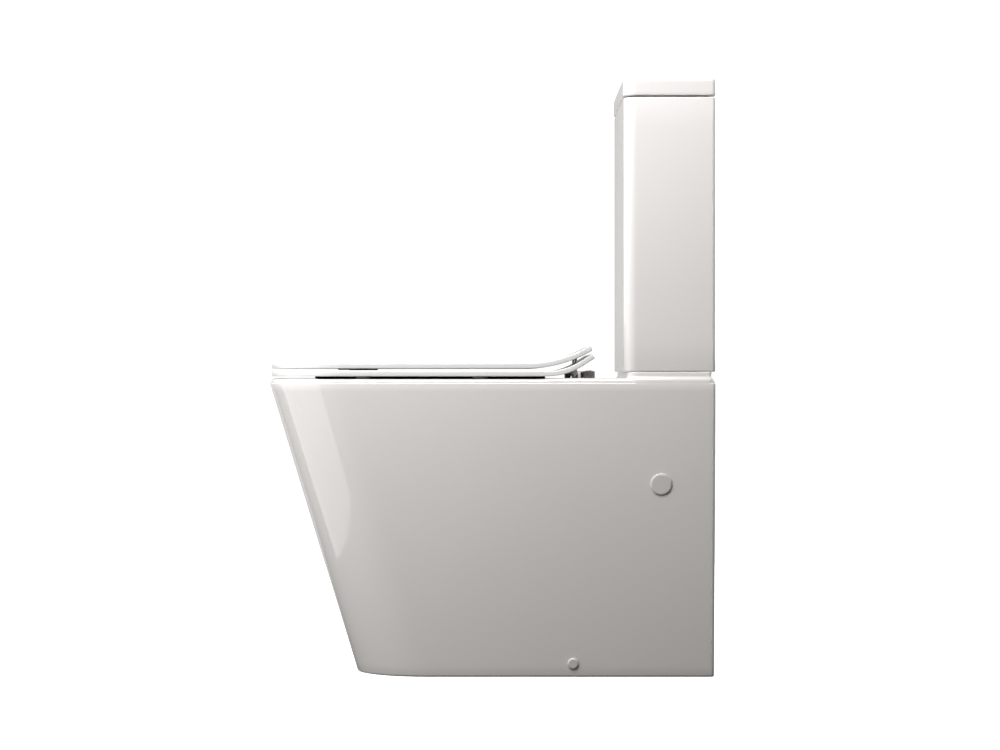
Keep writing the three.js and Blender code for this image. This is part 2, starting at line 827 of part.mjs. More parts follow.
function buttonBezel() {
  const base = tankLid.top + clearance;
  const { radius, sleeveRadius, bezelRadius, sleeveBottom } = button;
  return turned([
    [radius + 0.4, sleeveBottom], [sleeveRadius, sleeveBottom], [sleeveRadius, base],
    [bezelRadius, base], [bezelRadius, base + 0.8], [bezelRadius - 2, base + 2.2],
    [radius + 1.2, base + 2.2], [radius + 0.4, base + 1.4], [radius + 0.4, sleeveBottom],
  ], 0, flushWay.y, 32);
}

function bezelNut() {
  const top = tankLid.top - tankLid.plate - clearance;
  return tubeRing(button.sleeveRadius + clearance, 30, top - 7, top, 0, flushWay.y);
}

// One press plate: the disc's part on one side of the split.
function pressPlate(side) {
  const y = flushWay.y;
  const top = tankLid.top + button.plateRise;
  const bottom = top - button.plateHeight;
  const disc = turned([
    [0, bottom], [button.radius, bottom], [button.radius, top - 0.8], [button.radius - 1, top], [0, top],
  ], 0, y, 32);
  const edge = button.splitX + side * 0.3;
  const keep = side > 0
    ? box([edge, y - 30, top - 20], [edge + 60, y + 30, top + 10])
    : box([edge - 60, y - 30, top - 20], [edge, y + 30, top + 10]);
  return disc.intersect(keep);
}

function pushRod(x) {
  const top = tankLid.top + button.plateRise - button.plateHeight - clearance;
  return rod([x, flushWay.y, button.rodBottom], [x, flushWay.y, top], button.rodRadius, 14);
}

// ---------------------------------------------------------------- fill valve

function fillValveBody() {
  const { x, y, shankRadius, bottom, flangeRadius, riserRadius, boreRadius } = fillValve;
  const flangeBottom = tankFloor + washerHeight + 2 * clearance;
  const top = fillValve.headBottom - clearance;
  const outside = turned([
    [0, bottom], [shankRadius, bottom], [shankRadius, flangeBottom],
    [flangeRadius, flangeBottom], [flangeRadius, flangeBottom + 4],
    [12, flangeBottom + 9], [riserRadius, flangeBottom + 14], [riserRadius, top], [0, top],
  ], x, y, 20);
  return outside.subtract(rod([x, y, bottom - 6], [x, y, fillValve.headBottom - 10], boreRadius, 16));
}

// The valve's head, with a fork on one side that carries the float's arm.
function fillValveHead() {
  const { x, y, headBottom, headTop, slotHalf, forkWall } = fillValve;
  const pivot = floatPivot;
  let body = turned([
    [0, headBottom], [14, headBottom], [17, headBottom + 4], [17, headTop - 3], [14, headTop], [0, headTop],
  ], x, y, 24);
  for (const side of [-1, 1]) {
    const near = y + side * slotHalf;
    const far = y + side * (slotHalf + forkWall);
    const [low, high] = [Math.min(near, far), Math.max(near, far)];
    body = body.add(box([x, low, pivot.z - 6], [pivot.x + 6, high, pivot.z + 6]));
  }
  const slot = box([pivot.x - 8, y - slotHalf, pivot.z - 9], [pivot.x + 12, y + slotHalf, headTop + 1]);
  const pinHole = rod([pivot.x, y - 20, pivot.z], [pivot.x, y + 20, pivot.z], pivot.pinRadius + 0.4, 14);
  return body.subtract(slot).subtract(pinHole);
}

function floatArm() {
  const { x, z, pinRadius, pinHalf, armHalf } = floatPivot;
  const y = fillValve.y;
  const pin = rod([x, y - pinHalf, z], [x, y + pinHalf, z], pinRadius, 14);
  const knuckle = rod([x, y - 4.5, z], [x, y + 4.5, z], 5, 16);
  const bar = box([x, y - armHalf, z - armHalf], [floatCan.x + 15, y + armHalf, z + armHalf]);
  const stemLow = [floatCan.x - 5, y - armHalf, floatCan.top + clearance];
  const stem = box(stemLow, [floatCan.x + 5, y + armHalf, z]);
  return pin.add(knuckle).add(bar).add(stem);
}

// An upside-down cup that traps air.
function floatCup() {
  const y = fillValve.y;
  const { x, halfWidth, halfDepth: depth, bottom, top, roof } = floatCan;
  const outline = planOutline({
    halfWidth, front: -depth, back: depth, corner: 6, backCorner: 6, bow: 4000, cornerSteps: 3,
  });
  const outer = outline.map((point) => new THREE.Vector2(point.x + x, point.y + y));
  const inner = outline.map((point) => new THREE.Vector2(point.x * 0.88 + x, point.y * 0.92 + y));
  return plate(outer, bottom, top).subtract(plate(inner, bottom - 5, top - roof));
}

// ---------------------------------------------------------------- assembly

const toilet = new THREE.Group();
toilet.name = 'close_coupled_toilet';

function place(name, body, finish, position = [0, 0, 0], rotationY = 0) {
  const mesh = new THREE.Mesh(geometryOf(body), new THREE.MeshStandardMaterial(finishes[finish]));
  mesh.name = name;
  mesh.position.set(...position);
  mesh.rotation.y = rotationY;
  toilet.add(mesh);
}

place('pan', panBody(), 'ceramic');
place('cistern_tank', cisternTank(), 'ceramic');
place('cistern_lid', cisternLid(), 'ceramic');

place('seat_ring', seatRing(), 'seat_plastic');
place('seat_lid', seatLid(), 'seat_plastic');

const sides = [['left', -1], ['right', 1]];
const wallTilt = Math.atan((pan.topHalfWidth - pan.baseHalfWidth) / pan.shoulder);
const nutTop = pan.deckUnderside - 2;
const washerBottom = tankFloor + clearance;
const washerTop = washerBottom + washerHeight;

function placeSeatFeet(label, side) {
  const bottom = pan.top - pan.landingDepth + clearance;
  const top = ring.bottom - clearance;
  for (const [end, y] of [['front', feet.frontY], ['rear', feet.rearY]]) {
    place(`seat_buffer_${end}_${label}`, buffer(side * feet.x, y, bottom, top, feet.radius), 'buffer');
  }
  place(`lid_buffer_${label}`, lidPad(side * pads.x), 'rubber');
}

function placeHinge(label, side) {
  const x = side * hinge.pillarX;
  place(`hinge_pillar_${label}`, hingePillar(x), 'chrome');
  place(`hinge_pin_${label}`, hingePin(side), 'steel');
  place(`hinge_bolt_${label}`, hingeBolt(x), 'steel');
  place(`hinge_nut_${label}`, wingNut(x, hinge.boltY, nutTop, hinge.boltRadius), 'white_plastic');
}

function placeTankFixing(label, side) {
  const { y, radius, bottom, headRadius, headTop } = tankBolt;
  const x = side * tankBolt.x;
  const shankTop = washerTop + clearance;
  const bolt = headedBolt(x, y, bottom, shankTop, tankFloor + headTop, radius, headRadius);
  place(`tank_bolt_${label}`, bolt, 'steel');
  const washer = tubeRing(radius + clearance, 11, washerBottom, washerTop, x, y, 20);
  place(`tank_bolt_washer_${label}`, washer, 'rubber');
  place(`tank_wing_nut_${label}`, wingNut(x, y, nutTop, radius), 'white_plastic');
}

// Pieces that fix the skirt to the floor, and the caps over the holes in the skirt.
function placeSkirtFixing(label, side) {
  const capTurn = side * (90 * degree + wallTilt);
  for (const [name, cap] of [['side_cap', sideCap], ['fixing_cap', fixingCap]]) {
    const face = side * panWallAt(cap.z).halfWidth;
    place(`${name}_${label}`, coverCap(cap), 'white_plastic', [face, cap.y, cap.z], capTurn);
  }
  const screwX = side * (panWallAt(fixingCap.z).halfWidth - 26);
  place(`floor_bracket_${label}`, floorBracket(side), 'grey_plastic');
  place(`floor_screw_${label}`, floorScrew(side), 'steel');
  place(`side_screw_${label}`, sideScrew(), 'steel', [screwX, fixingCap.y, fixingCap.z], side * 90 * degree);
}

for (const [label, side] of sides) {
  placeSeatFeet(label, side);
  placeHinge(label, side);
  placeTankFixing(label, side);
  placeSkirtFixing(label, side);
}

const flushRing = (inner, outer, bottom, top) => tubeRing(inner, outer, bottom, top, 0, flushWay.y);
const underTank = tank.bottom - clearance;
place('valve_base', valveBase(), 'white_plastic');
place('valve_washer', flushRing(32.5, valve.flangeRadius, washerBottom, washerTop), 'rubber');
place('valve_backnut', flushRing(valve.shankRadius + clearance, 38, 409, underTank), 'white_plastic');
place('coupling_gasket', flushRing(38.4, 46, flushWay.pocketFloor + clearance, underTank), 'rubber');
place('valve_tower', valveTower(), 'white_plastic');
place('valve_core', valveCore(), 'grey_plastic');
place('flush_seal', flushSeal(), 'rubber');

place('button_bezel', buttonBezel(), 'chrome');
place('bezel_nut', bezelNut(), 'white_plastic');
place('full_flush_button', pressPlate(-1), 'chrome');
place('half_flush_button', pressPlate(1), 'chrome');
place('full_push_rod', pushRod(button.fullRodX), 'blue_plastic');
place('half_push_rod', pushRod(button.halfRodX), 'blue_plastic');

const inletRing = (bottom, top) => tubeRing(
  fillValve.shankRadius + clearance, fillValve.flangeRadius, bottom, top, fillValve.x, fillValve.y, 20);
place('fill_valve_body', fillValveBody(), 'white_plastic');
place('fill_valve_washer', inletRing(washerBottom, washerTop), 'rubber');
place('fill_valve_nut', inletRing(410, underTank), 'white_plastic');
place('fill_valve_head', fillValveHead(), 'grey_plastic');
place('float_arm', floatArm(), 'white_plastic');
place('float_cup', floatCup(), 'blue_plastic');

export default toilet;
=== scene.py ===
"""A close coupled toilet: glazed skirted pan, slim flared seat and lid, box cistern and its fittings.

Every piece is a surface worked out on a grid of loops: each loop is a closed line round the piece,
and the surface runs from one loop to the next. Metres, +Z up, the wall on the +Y side.
"""
import json
import math

import bmesh
import bpy
import numpy as np
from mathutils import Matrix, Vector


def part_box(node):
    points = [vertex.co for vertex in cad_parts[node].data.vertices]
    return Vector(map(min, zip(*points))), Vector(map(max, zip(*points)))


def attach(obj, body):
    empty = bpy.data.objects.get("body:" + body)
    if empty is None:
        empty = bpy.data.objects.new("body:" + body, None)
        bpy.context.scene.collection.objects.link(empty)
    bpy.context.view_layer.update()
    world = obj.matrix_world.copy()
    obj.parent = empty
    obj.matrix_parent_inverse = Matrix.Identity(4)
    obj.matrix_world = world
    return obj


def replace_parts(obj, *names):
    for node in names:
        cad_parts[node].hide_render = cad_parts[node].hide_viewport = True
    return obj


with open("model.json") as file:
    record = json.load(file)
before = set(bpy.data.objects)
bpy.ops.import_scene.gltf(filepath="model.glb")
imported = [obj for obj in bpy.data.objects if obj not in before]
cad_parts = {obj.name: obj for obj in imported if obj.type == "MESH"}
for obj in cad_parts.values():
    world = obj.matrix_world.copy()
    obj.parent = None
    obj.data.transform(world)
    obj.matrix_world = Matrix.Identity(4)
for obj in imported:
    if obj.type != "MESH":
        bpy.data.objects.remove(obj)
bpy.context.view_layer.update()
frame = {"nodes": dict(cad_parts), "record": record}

# ---------------------------------------------------------------- sizes taken from the frame

PAN_LOW, PAN_HIGH = (np.array(corner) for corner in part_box("pan"))
TANK_LOW, TANK_HIGH = (np.array(corner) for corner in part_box("cistern_tank"))
COVER_LOW, COVER_HIGH = (np.array(corner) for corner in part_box("cistern_lid"))
RING_LOW, RING_HIGH = (np.array(corner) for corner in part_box("seat_ring"))
LID_LOW, LID_HIGH = (np.array(corner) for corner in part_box("seat_lid"))
WALL_Y = PAN_HIGH[1]
FRONT_Y = PAN_LOW[1]

# ---------------------------------------------------------------- the maker's sizes

BOW = 1.0                     # radius of the slightly bowed front edges
STRAIGHT = 20.0               # radius that makes a front edge look straight
NECK_TOP = PAN_HIGH[2]
DECK_TOP = NECK_TOP - 0.0083
EDGE = 0.008                  # rounded top edge of the pan
SHOULDER = DECK_TOP - EDGE    # where the skirt's straight wall ends
TOP_HALF = PAN_HIGH[0]
BASE_HALF = 0.150
BASE_FRONT = -0.187
TOP_CORNER = 0.105
BASE_CORNER = 0.102
WALL = 0.012
DECK_UNDERSIDE = DECK_TOP - 0.0184
LANDING = 0.0012              # the rim is this much lower under the seat's buffers
LANDING_FRONT = -0.2375
LANDING_BACK = 0.0775
MOUTH = dict(half=0.137, front=-0.262, back=0.084, corner=0.094, back_corner=0.062)
LIP = 0.005
OUTLET_Y = 0.300

SEAT_OPENING = dict(half=0.112, front=-0.243, back=0.074, corner=0.084, back_corner=0.066)
RING_BOTTOM = 0.4148
RING_THICK = 0.0074
RING_FLARE = dict(start=0.080, radius=0.090, angle=math.radians(32))
LID_BOTTOM = 0.4256
LID_THICK = 0.0078
LID_FLARE = dict(start=0.052, radius=0.1758, angle=math.radians(30))
SEAT_CORNER = 0.103
SEAT_BACK_CORNER = 0.018
SEAT_CUT = 0.011              # how much of each rear corner is sliced off
RING_BACK = 0.1515
LID_BACK = 0.1472
INNER_EDGE = 0.0035           # rounding of the seat's inner top edge
NOTCH_HALF = 0.0055           # the seat is notched where the lid's arms pass
SEAT_ARM_X = 0.061
LID_ARM_X = 0.074
ARM_HALF = 0.004

HINGE_Y, HINGE_Z = 0.142, 0.4185
HINGE_X = 0.092
HINGE_TOP = 0.4223
BUTTON_Y = 0.247

EYE = (4.2605, 0.0150, 0.4167)
LENS = 107.28                 # focal length in millimetres, on a 36 mm wide sensor

FLOOR_HALF = 2.3
FLOOR_GLOW = 0.78
BACKDROP_RADIUS = 13.0
BACKDROP_GLOW = 1.1
SURROUND = 0.07
SURROUND_COLOR = (1.0, 0.94, 0.85, 1)
LIGHTS = [
    # name, place, aimed at, width, height, brightness
    ("front_panel", (0.36, -0.75, 0.36), (0.36, 0.0, 0.36), 0.9, 0.84, 1.51),
    ("overhead", (0.9, -0.08, 1.5), (0.15, 0.0, 0.4), 0.8, 0.8, 5.5),
    ("overhead_front", (0.9, -0.48, 1.45), (0.15, 0.0, 0.4), 0.8, 0.8, 6.6),
    ("far_side", (-2.5, -0.4, 0.6), (0.0, -0.4, 0.6), 3.0, 2.0, 0.5),
    ("far_side_rear", (-1.9, 1.6, 0.9), (0.0, 0.1, 0.45), 1.8, 1.6, 2.2),
    ("far_side_front", (-1.5, -1.8, 1.2), (0.0, 0.0, 0.4), 1.4, 1.4, 2.4),
    ("wall_side", (-1.0, 2.2, 1.2), (0.0, 0.3, 0.4), 1.9, 2.0, 2.2),
]


# ---------------------------------------------------------------- surface tools

def arc(cx, cy, radius, start, end, count):
    """Points on a circle round (cx, cy), from one angle to the other."""
    angle = np.linspace(start, end, count)
    return np.stack([cx + radius * np.cos(angle), cy + radius * np.sin(angle)], axis=1)


def outline(half, front, back, corner, back_corner, bow=BOW, cut=None):
    """Plan outline, anticlockwise from the front's left corner.

    A shallow arc for the front, round front corners tangent to it, straight sides and small back
    corners. Every outline has the same number of points in each stretch, so loops can be joined.
    """
    reach = bow - corner
    corner_x = half - corner
    corner_y = front + bow - math.sqrt(reach ** 2 - corner_x ** 2)
    turn = math.asin(corner_x / reach)
    quarter = math.pi / 2
    back_x, back_y = half - back_corner, back - back_corner
    nose, round_, side, small, rear = 36, 40, 120, 8, 40
    right = arc(corner_x, corner_y, corner, turn - quarter, 0, round_)
    rising = np.stack([np.full(side, half), np.linspace(corner_y, back_y, side + 2)[1:-1]], axis=1)
    heel = arc(back_x, back_y, back_corner, 0, quarter, small)
    if cut:
        heel = sliced_corner(half, back, back_corner, cut, small)
        back_x = heel[-1, 0]
    across = np.stack([np.linspace(back_x, -back_x, rear + 2)[1:-1], np.full(rear, back)], axis=1)
    start = arc(0, front + bow, bow, -quarter - turn, -quarter + turn, nose + 2)[1:-1]
    mirror = np.array([-1.0, 1.0])
    return np.concatenate([start, right, rising, heel, across,
                           heel[::-1] * mirror, rising[::-1] * mirror, right[::-1] * mirror])


def sliced_corner(half, back, along, across, count):
    """A rear corner sliced off straight, with its two ends just softened."""
    start, end = np.array([half, back - along]), np.array([half - across, back])
    share = np.linspace(0, 1, count - 2)[:, None]
    line = start + (end - start) * (0.06 + 0.88 * share)
    before = start - [0, 0.0006]
    after = end - [0.0010, 0]
    return np.concatenate([before[None], line, after[None]])


def shrunk(shape, inset, **changes):
    """The numbers of an outline drawn in by an inset on every side."""
    small = dict(shape, half=shape["half"] - inset,
                 front=shape["front"] + inset, back=shape["back"] - inset,
                 corner=max(shape["corner"] - inset, 0.001),
                 back_corner=max(shape["back_corner"] - inset, 0.0005))
    small.update(changes)
    return small


def level(points, z):
    """A plan outline lifted to a height."""
    return np.column_stack([points, np.full(len(points), z)])


def between(first, last, count, ends=False):
    """Loops spaced evenly from one loop to another, without the two ends unless asked for."""
    share = np.linspace(0, 1, count + 2)[:, None, None]
    loops = first + (last - first) * share
    return list(loops if ends else loops[1:-1])


def quarter_round(shape, z, radius, steps, drop=1):
    """Loops over a rounded edge: the outline draws in along a quarter circle while the height changes."""
    loops = []
    for angle in np.radians(np.linspace(0, 90, steps)):
        inset = radius * (1 - math.cos(angle))
        loops.append(level(outline(**shrunk(shape, inset)), z + drop * radius * math.sin(angle)))
    return loops


def circle_like(points, cx, cy, radius):
    """A circle with its points at the same bearings as another loop's, so the two can be joined."""
    bearing = np.arctan2(points[:, 1] - cy, points[:, 0] - cx)
    return np.stack([cx + radius * np.cos(bearing), cy + radius * np.sin(bearing)], axis=1)


def grid_faces(rows, columns, close_rows=False, keep=None):
    """Quads between neighbouring loops, the columns wrapping round."""
    row = np.arange(rows if close_rows else rows - 1)[:, None]
    column = np.arange(columns)[None, :]
    following = (row + 1) % rows
    right = (column + 1) % columns
    quads = np.stack([row * columns + column, row * columns + right,
                      following * columns + right, following * columns + column], axis=-1)
    if keep is not None:
        return quads[keep]
    return quads.reshape(-1, 4)


def make_object(name, vertices, faces, material, body, smooth_angle=40):
    """A mesh piece with outward faces, smooth shading, a material and a body."""
    mesh = bpy.data.meshes.new(name)
    mesh.from_pydata(np.asarray(vertices).tolist(), [], faces)
    work = bmesh.new()
    work.from_mesh(mesh)
    bmesh.ops.remove_doubles(work, verts=work.verts, dist=1e-7)
    bmesh.ops.recalc_face_normals(work, faces=work.faces)
    work.to_mesh(mesh)
    work.free()
    mesh.shade_smooth()
    mesh.set_sharp_from_angle(angle=math.radians(smooth_angle))
    piece = bpy.data.objects.new(name, mesh)
    bpy.context.scene.collection.objects.link(piece)
    piece.data.materials.append(material)
    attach(piece, body)
    return piece


def loft(name, loops, material, body, closed=False):
    """A surface through a list of loops, its ends closed by flat faces or joined to each other."""
    grid = np.array(loops)
    rows, columns = grid.shape[:2]
    faces = grid_faces(rows, columns, closed).tolist()
    if not closed:
        faces.append(list(range(columns))[::-1])
        faces.append(list(range((rows - 1) * columns, rows * columns)))
    return make_object(name, grid.reshape(-1, 3), faces, material, body)


def spun(profile, count=64):
    """Loops of a turned piece: each (radius, height) of the profile becomes a circle."""
    angle = np.linspace(0, 2 * math.pi, count, endpoint=False)
    ring = np.stack([np.cos(angle), np.sin(angle), np.zeros(count)], axis=1)
    return [ring * radius + np.array([0, 0, height]) for radius, height in profile]


def moved(loops, offset, axis="z"):
    """Loops of a turned piece moved to their place; axis +x or -x lays the piece on its side."""
    placed = []
    for loop in loops:
        x, y, z = loop.T
        if axis == "+x":
            loop = np.stack([z, y, -x], axis=1)
        elif axis == "-x":
            loop = np.stack([-z, y, x], axis=1)
        placed.append(loop + np.array(offset))
    return placed


def rounded_profile(radius, bottom, top, edge, steps=5):
    """Profile of a disc with both rims rounded, from the axis round to the axis."""
    profile = [(0.0001, bottom), (radius - edge * 1.5, bottom)]
    for angle in np.radians(np.linspace(-90, 0, steps)):
        profile.append((radius - edge + edge * math.cos(angle), bottom + edge + edge * math.sin(angle)))
    for angle in np.radians(np.linspace(0, 90, steps)):
        profile.append((radius - edge + edge * math.cos(angle), top - edge + edge * math.sin(angle)))
    return profile + [(radius - edge * 1.5, top), (0.0001, top)]


def rounded_box(low, high, edge, steps=4):
    """Loops of a box with all its edges rounded."""
    low, high = np.array(low), np.array(high)
    middle, half = (low + high) / 2, (high - low) / 2
    angles = np.radians(np.linspace(0, 90, steps))
    corners = []
    for sx, sy, start in ((1, 1, 0), (-1, 1, 90), (-1, -1, 180), (1, -1, 270)):
        turn = angles + math.radians(start)
        corners.append(np.stack([sx * (half[0] - edge) + edge * np.cos(turn),
                                 sy * (half[1] - edge) + edge * np.sin(turn)], axis=1))
    flat = np.concatenate(corners)
    core = np.sign(flat) * np.minimum(np.abs(flat), half[:2] - edge)
    loops = [level(core * 0.98, -half[2])]
    for angle in np.radians(np.linspace(-90, 0, steps)):
        ring = core + (flat - core) * math.cos(angle)
        loops.append(level(ring, -half[2] + edge + edge * math.sin(angle)))
    for angle in np.radians(np.linspace(0, 90, steps)):
        ring = core + (flat - core) * math.cos(angle)
        loops.append(level(ring, half[2] - edge + edge * math.sin(angle)))
    loops.append(level(core * 0.98, half[2]))
    return [loop + middle for loop in loops]


def flared(loop, start, radius, angle, base):
    """Bends a flat loop upward: past the start line it follows an arc, and then a straight rise.

    Distance along Y becomes distance along the arc, and height above the base stays square to it.
    """
    x, y, z = loop.T
    lift = z - base
    turn = np.clip((y - start) / radius, 0, angle)
    beyond = np.maximum(y - start - radius * angle, 0)
    inner = radius - lift
    bent_y = start + inner * np.sin(turn) + beyond * math.cos(angle)
    bent_z = base + radius - inner * np.cos(turn) + beyond * math.sin(angle)
    flat = y <= start
    return np.stack([x, np.where(flat, y, bent_y), np.where(flat, z, bent_z)], axis=1)


def smooth_step(value, low, high):
    share = np.clip((value - low) / (high - low), 0, 1)
    return share * share * (3 - 2 * share)


# ---------------------------------------------------------------- materials

def surface_material(name, color, roughness, metallic=0.0, coat=0.0, specular=0.5):
    """A shader with its uniform values on its own sockets, ready for the patterns that follow."""
    material = bpy.data.materials.new(name)
    material.use_nodes = True
    nodes, links = material.node_tree.nodes, material.node_tree.links
    shader = nodes["Principled BSDF"]
    shader.inputs["Base Color"].default_value = (*color, 1)
    shader.inputs["Roughness"].default_value = roughness
    shader.inputs["Metallic"].default_value = metallic
    shader.inputs["Coat Weight"].default_value = coat
    shader.inputs["Coat Roughness"].default_value = 0.03
    shader.inputs["Specular IOR Level"].default_value = specular
    place = nodes.new("ShaderNodeTexCoord")
    return material, nodes, links, shader, place


def noise(nodes, links, place, scale, detail=3.0, stretch=(1, 1, 1)):
    """Noise on Object coordinates."""
    mapping = nodes.new("ShaderNodeMapping")
    mapping.inputs["Scale"].default_value = stretch
    texture = nodes.new("ShaderNodeTexNoise")
    texture.inputs["Scale"].default_value = scale
    texture.inputs["Detail"].default_value = detail
    links.new(place.outputs["Object"], mapping.inputs["Vector"])
    links.new(mapping.outputs["Vector"], texture.inputs["Vector"])
    return texture


def vary_color(nodes, links, shader, texture, first, second, low=0.35, high=0.65):
    ramp = nodes.new("ShaderNodeValToRGB")
    ramp.color_ramp.elements[0].position = low
    ramp.color_ramp.elements[1].position = high
    ramp.color_ramp.elements[0].color = (*first, 1)
    ramp.color_ramp.elements[1].color = (*second, 1)
    links.new(texture.outputs["Fac"], ramp.inputs["Fac"])
    links.new(ramp.outputs["Color"], shader.inputs["Base Color"])


def vary_roughness(nodes, links, shader, texture, low, high):
    spread = nodes.new("ShaderNodeMapRange")
    spread.inputs["From Min"].default_value = 0.3
    spread.inputs["From Max"].default_value = 0.7
    spread.inputs["To Min"].default_value = low
    spread.inputs["To Max"].default_value = high
    links.new(texture.outputs["Fac"], spread.inputs["Value"])
    links.new(spread.outputs["Result"], shader.inputs["Roughness"])


def add_bump(nodes, links, shader, texture, strength, distance):
    bump = nodes.new("ShaderNodeBump")
    bump.inputs["Strength"].default_value = strength
    bump.inputs["Distance"].default_value = distance
    links.new(texture.outputs["Fac"], bump.inputs["Height"])
    links.new(bump.outputs["Normal"], shader.inputs["Normal"])


def glaze():
    """White glaze over fired clay: faint warm and cool clouds, and a very shallow waviness."""
    color = (0.852, 0.833, 0.815)
    material, nodes, links, shader, place = surface_material("glazed_white", color, 0.06, coat=0.15)
    clouds = noise(nodes, links, place, 5.0)
    vary_color(nodes, links, shader, clouds, (0.847, 0.826, 0.807), (0.86, 0.841, 0.824))
    vary_roughness(nodes, links, shader, noise(nodes, links, place, 22.0), 0.045, 0.09)
    add_bump(nodes, links, shader, noise(nodes, links, place, 16.0, 1.0), 0.05, 0.0006)
    return material


def seat_plastic():
    """Moulded gloss white plastic with a faint flow pattern."""
    color = (0.885, 0.885, 0.88)
    material, nodes, links, shader, place = surface_material("seat_white", color, 0.18, coat=0.15)
    flow = noise(nodes, links, place, 7.0)
    vary_color(nodes, links, shader, flow, (0.875, 0.875, 0.87), (0.895, 0.895, 0.89))
    vary_roughness(nodes, links, shader, noise(nodes, links, place, 60.0), 0.14, 0.22)
    add_bump(nodes, links, shader, noise(nodes, links, place, 400.0, 1.0), 0.04, 0.0002)
    return material


def polished_chrome():
    """Bright plating with very fine polishing marks."""
    color = (0.8, 0.8, 0.81)
    material, nodes, links, shader, place = surface_material("polished_chrome", color, 0.08, metallic=1.0)
    lines = noise(nodes, links, place, 900.0, 2.0, (0.05, 0.05, 1))
    clouds = noise(nodes, links, place, 40.0)
    vary_color(nodes, links, shader, clouds, (0.78, 0.78, 0.79), (0.83, 0.83, 0.84))
    vary_roughness(nodes, links, shader, lines, 0.05, 0.12)
    add_bump(nodes, links, shader, lines, 0.05, 0.0001)
    return material


def satin_metal():
    """Brushed hinge metal."""
    color = (0.45, 0.44, 0.44)
    material, nodes, links, shader, place = surface_material("satin_metal", color, 0.38, metallic=1.0)
    lines = noise(nodes, links, place, 1200.0, 2.0, (1, 0.04, 1))
    vary_color(nodes, links, shader, lines, (0.40, 0.39, 0.39), (0.50, 0.49, 0.49))
    vary_roughness(nodes, links, shader, lines, 0.3, 0.45)
    add_bump(nodes, links, shader, lines, 0.15, 0.0002)
    return material


def zinc_steel():
    """Dull plated steel with a faint crystal pattern."""
    color = (0.55, 0.56, 0.57)
    material, nodes, links, shader, place = surface_material("zinc_steel", color, 0.4, metallic=1.0)
    spangle = noise(nodes, links, place, 300.0)
    vary_color(nodes, links, shader, spangle, (0.48, 0.49, 0.5), (0.62, 0.63, 0.64))
    vary_roughness(nodes, links, shader, spangle, 0.32, 0.5)
    add_bump(nodes, links, shader, spangle, 0.1, 0.0002)
    return material


def moulded(name, color, deep, roughness):
    """Plain moulded plastic with a fine grained skin."""
    material, nodes, links, shader, place = surface_material(name, color, roughness)
    grain = noise(nodes, links, place, 700.0, 2.0)
    vary_color(nodes, links, shader, noise(nodes, links, place, 30.0), deep, color)
    vary_roughness(nodes, links, shader, grain, roughness - 0.06, roughness + 0.08)
    add_bump(nodes, links, shader, grain, 0.08, 0.0002)
    return material


def black_rubber_and_painted_shade():
    """Matt black rubber for the pads and fittings; on the seat's inner lip the same black is painted shade.
    """
    color = (0.012, 0.012, 0.012)
    material, nodes, links, shader, place = surface_material("black_rubber_and_painted_shade", color, 0.8, specular=0.2)
    grain = noise(nodes, links, place, 900.0)
    vary_color(nodes, links, shader, grain, (0.008, 0.008, 0.008), (0.02, 0.02, 0.02))
    vary_roughness(nodes, links, shader, grain, 0.7, 0.9)
    add_bump(nodes, links, shader, grain, 0.2, 0.0002)
    return material


GLAZE = glaze()
SEAT_WHITE = seat_plastic()
CHROME = polished_chrome()
SATIN = satin_metal()
ZINC = zinc_steel()
CAP_WHITE = moulded("cap_white", (0.78, 0.755, 0.735), (0.75, 0.73, 0.71), 0.25)
FITTING_WHITE = moulded("fitting_white", (0.82, 0.82, 0.8), (0.78, 0.78, 0.76), 0.42)
FITTING_GREY = moulded("fitting_grey", (0.35, 0.37, 0.39), (0.3, 0.32, 0.34), 0.5)
FITTING_BLUE = moulded("fitting_blue", (0.08, 0.25, 0.46), (0.06, 0.2, 0.4), 0.45)
BUFFER_GREY = moulded("buffer_grey", (0.5, 0.51, 0.5), (0.4, 0.41, 0.4), 0.45)
# black rubber, and the painted shade of the seat's inner lip
RUBBER_AND_SHADE = black_rubber_and_painted_shade()


# ---------------------------------------------------------------- the pan

def wall_shape(z, inset=0.0, **changes):
    """The pan's outline at a height: straight tapering walls between the foot and the shoulder."""
    share = z / SHOULDER
    shape = dict(half=BASE_HALF + share * (TOP_HALF - BASE_HALF),
                 front=BASE_FRONT + share * (FRONT_Y - BASE_FRONT), back=WALL_Y,
                 corner=BASE_CORNER + share * (TOP_CORNER - BASE_CORNER), back_corner=0.004)
    return shrunk(shape, inset, **changes)


def lowered_landing(loops):
    """Lowers the flat of the rim a little between its front and the hinges, with soft slopes."""
    result = []
    for loop in loops:
        x, y, z = loop.T
        slope = 0.0032
        window = smooth_step(y, LANDING_FRONT - slope, LANDING_FRONT + slope)
        window = window * (1 - smooth_step(y, LANDING_BACK - slope, LANDING_BACK + slope))
        height = smooth_step(z, SHOULDER, DECK_TOP)
        result.append(np.stack([x, y, z - LANDING * window * height], axis=1))
    return result


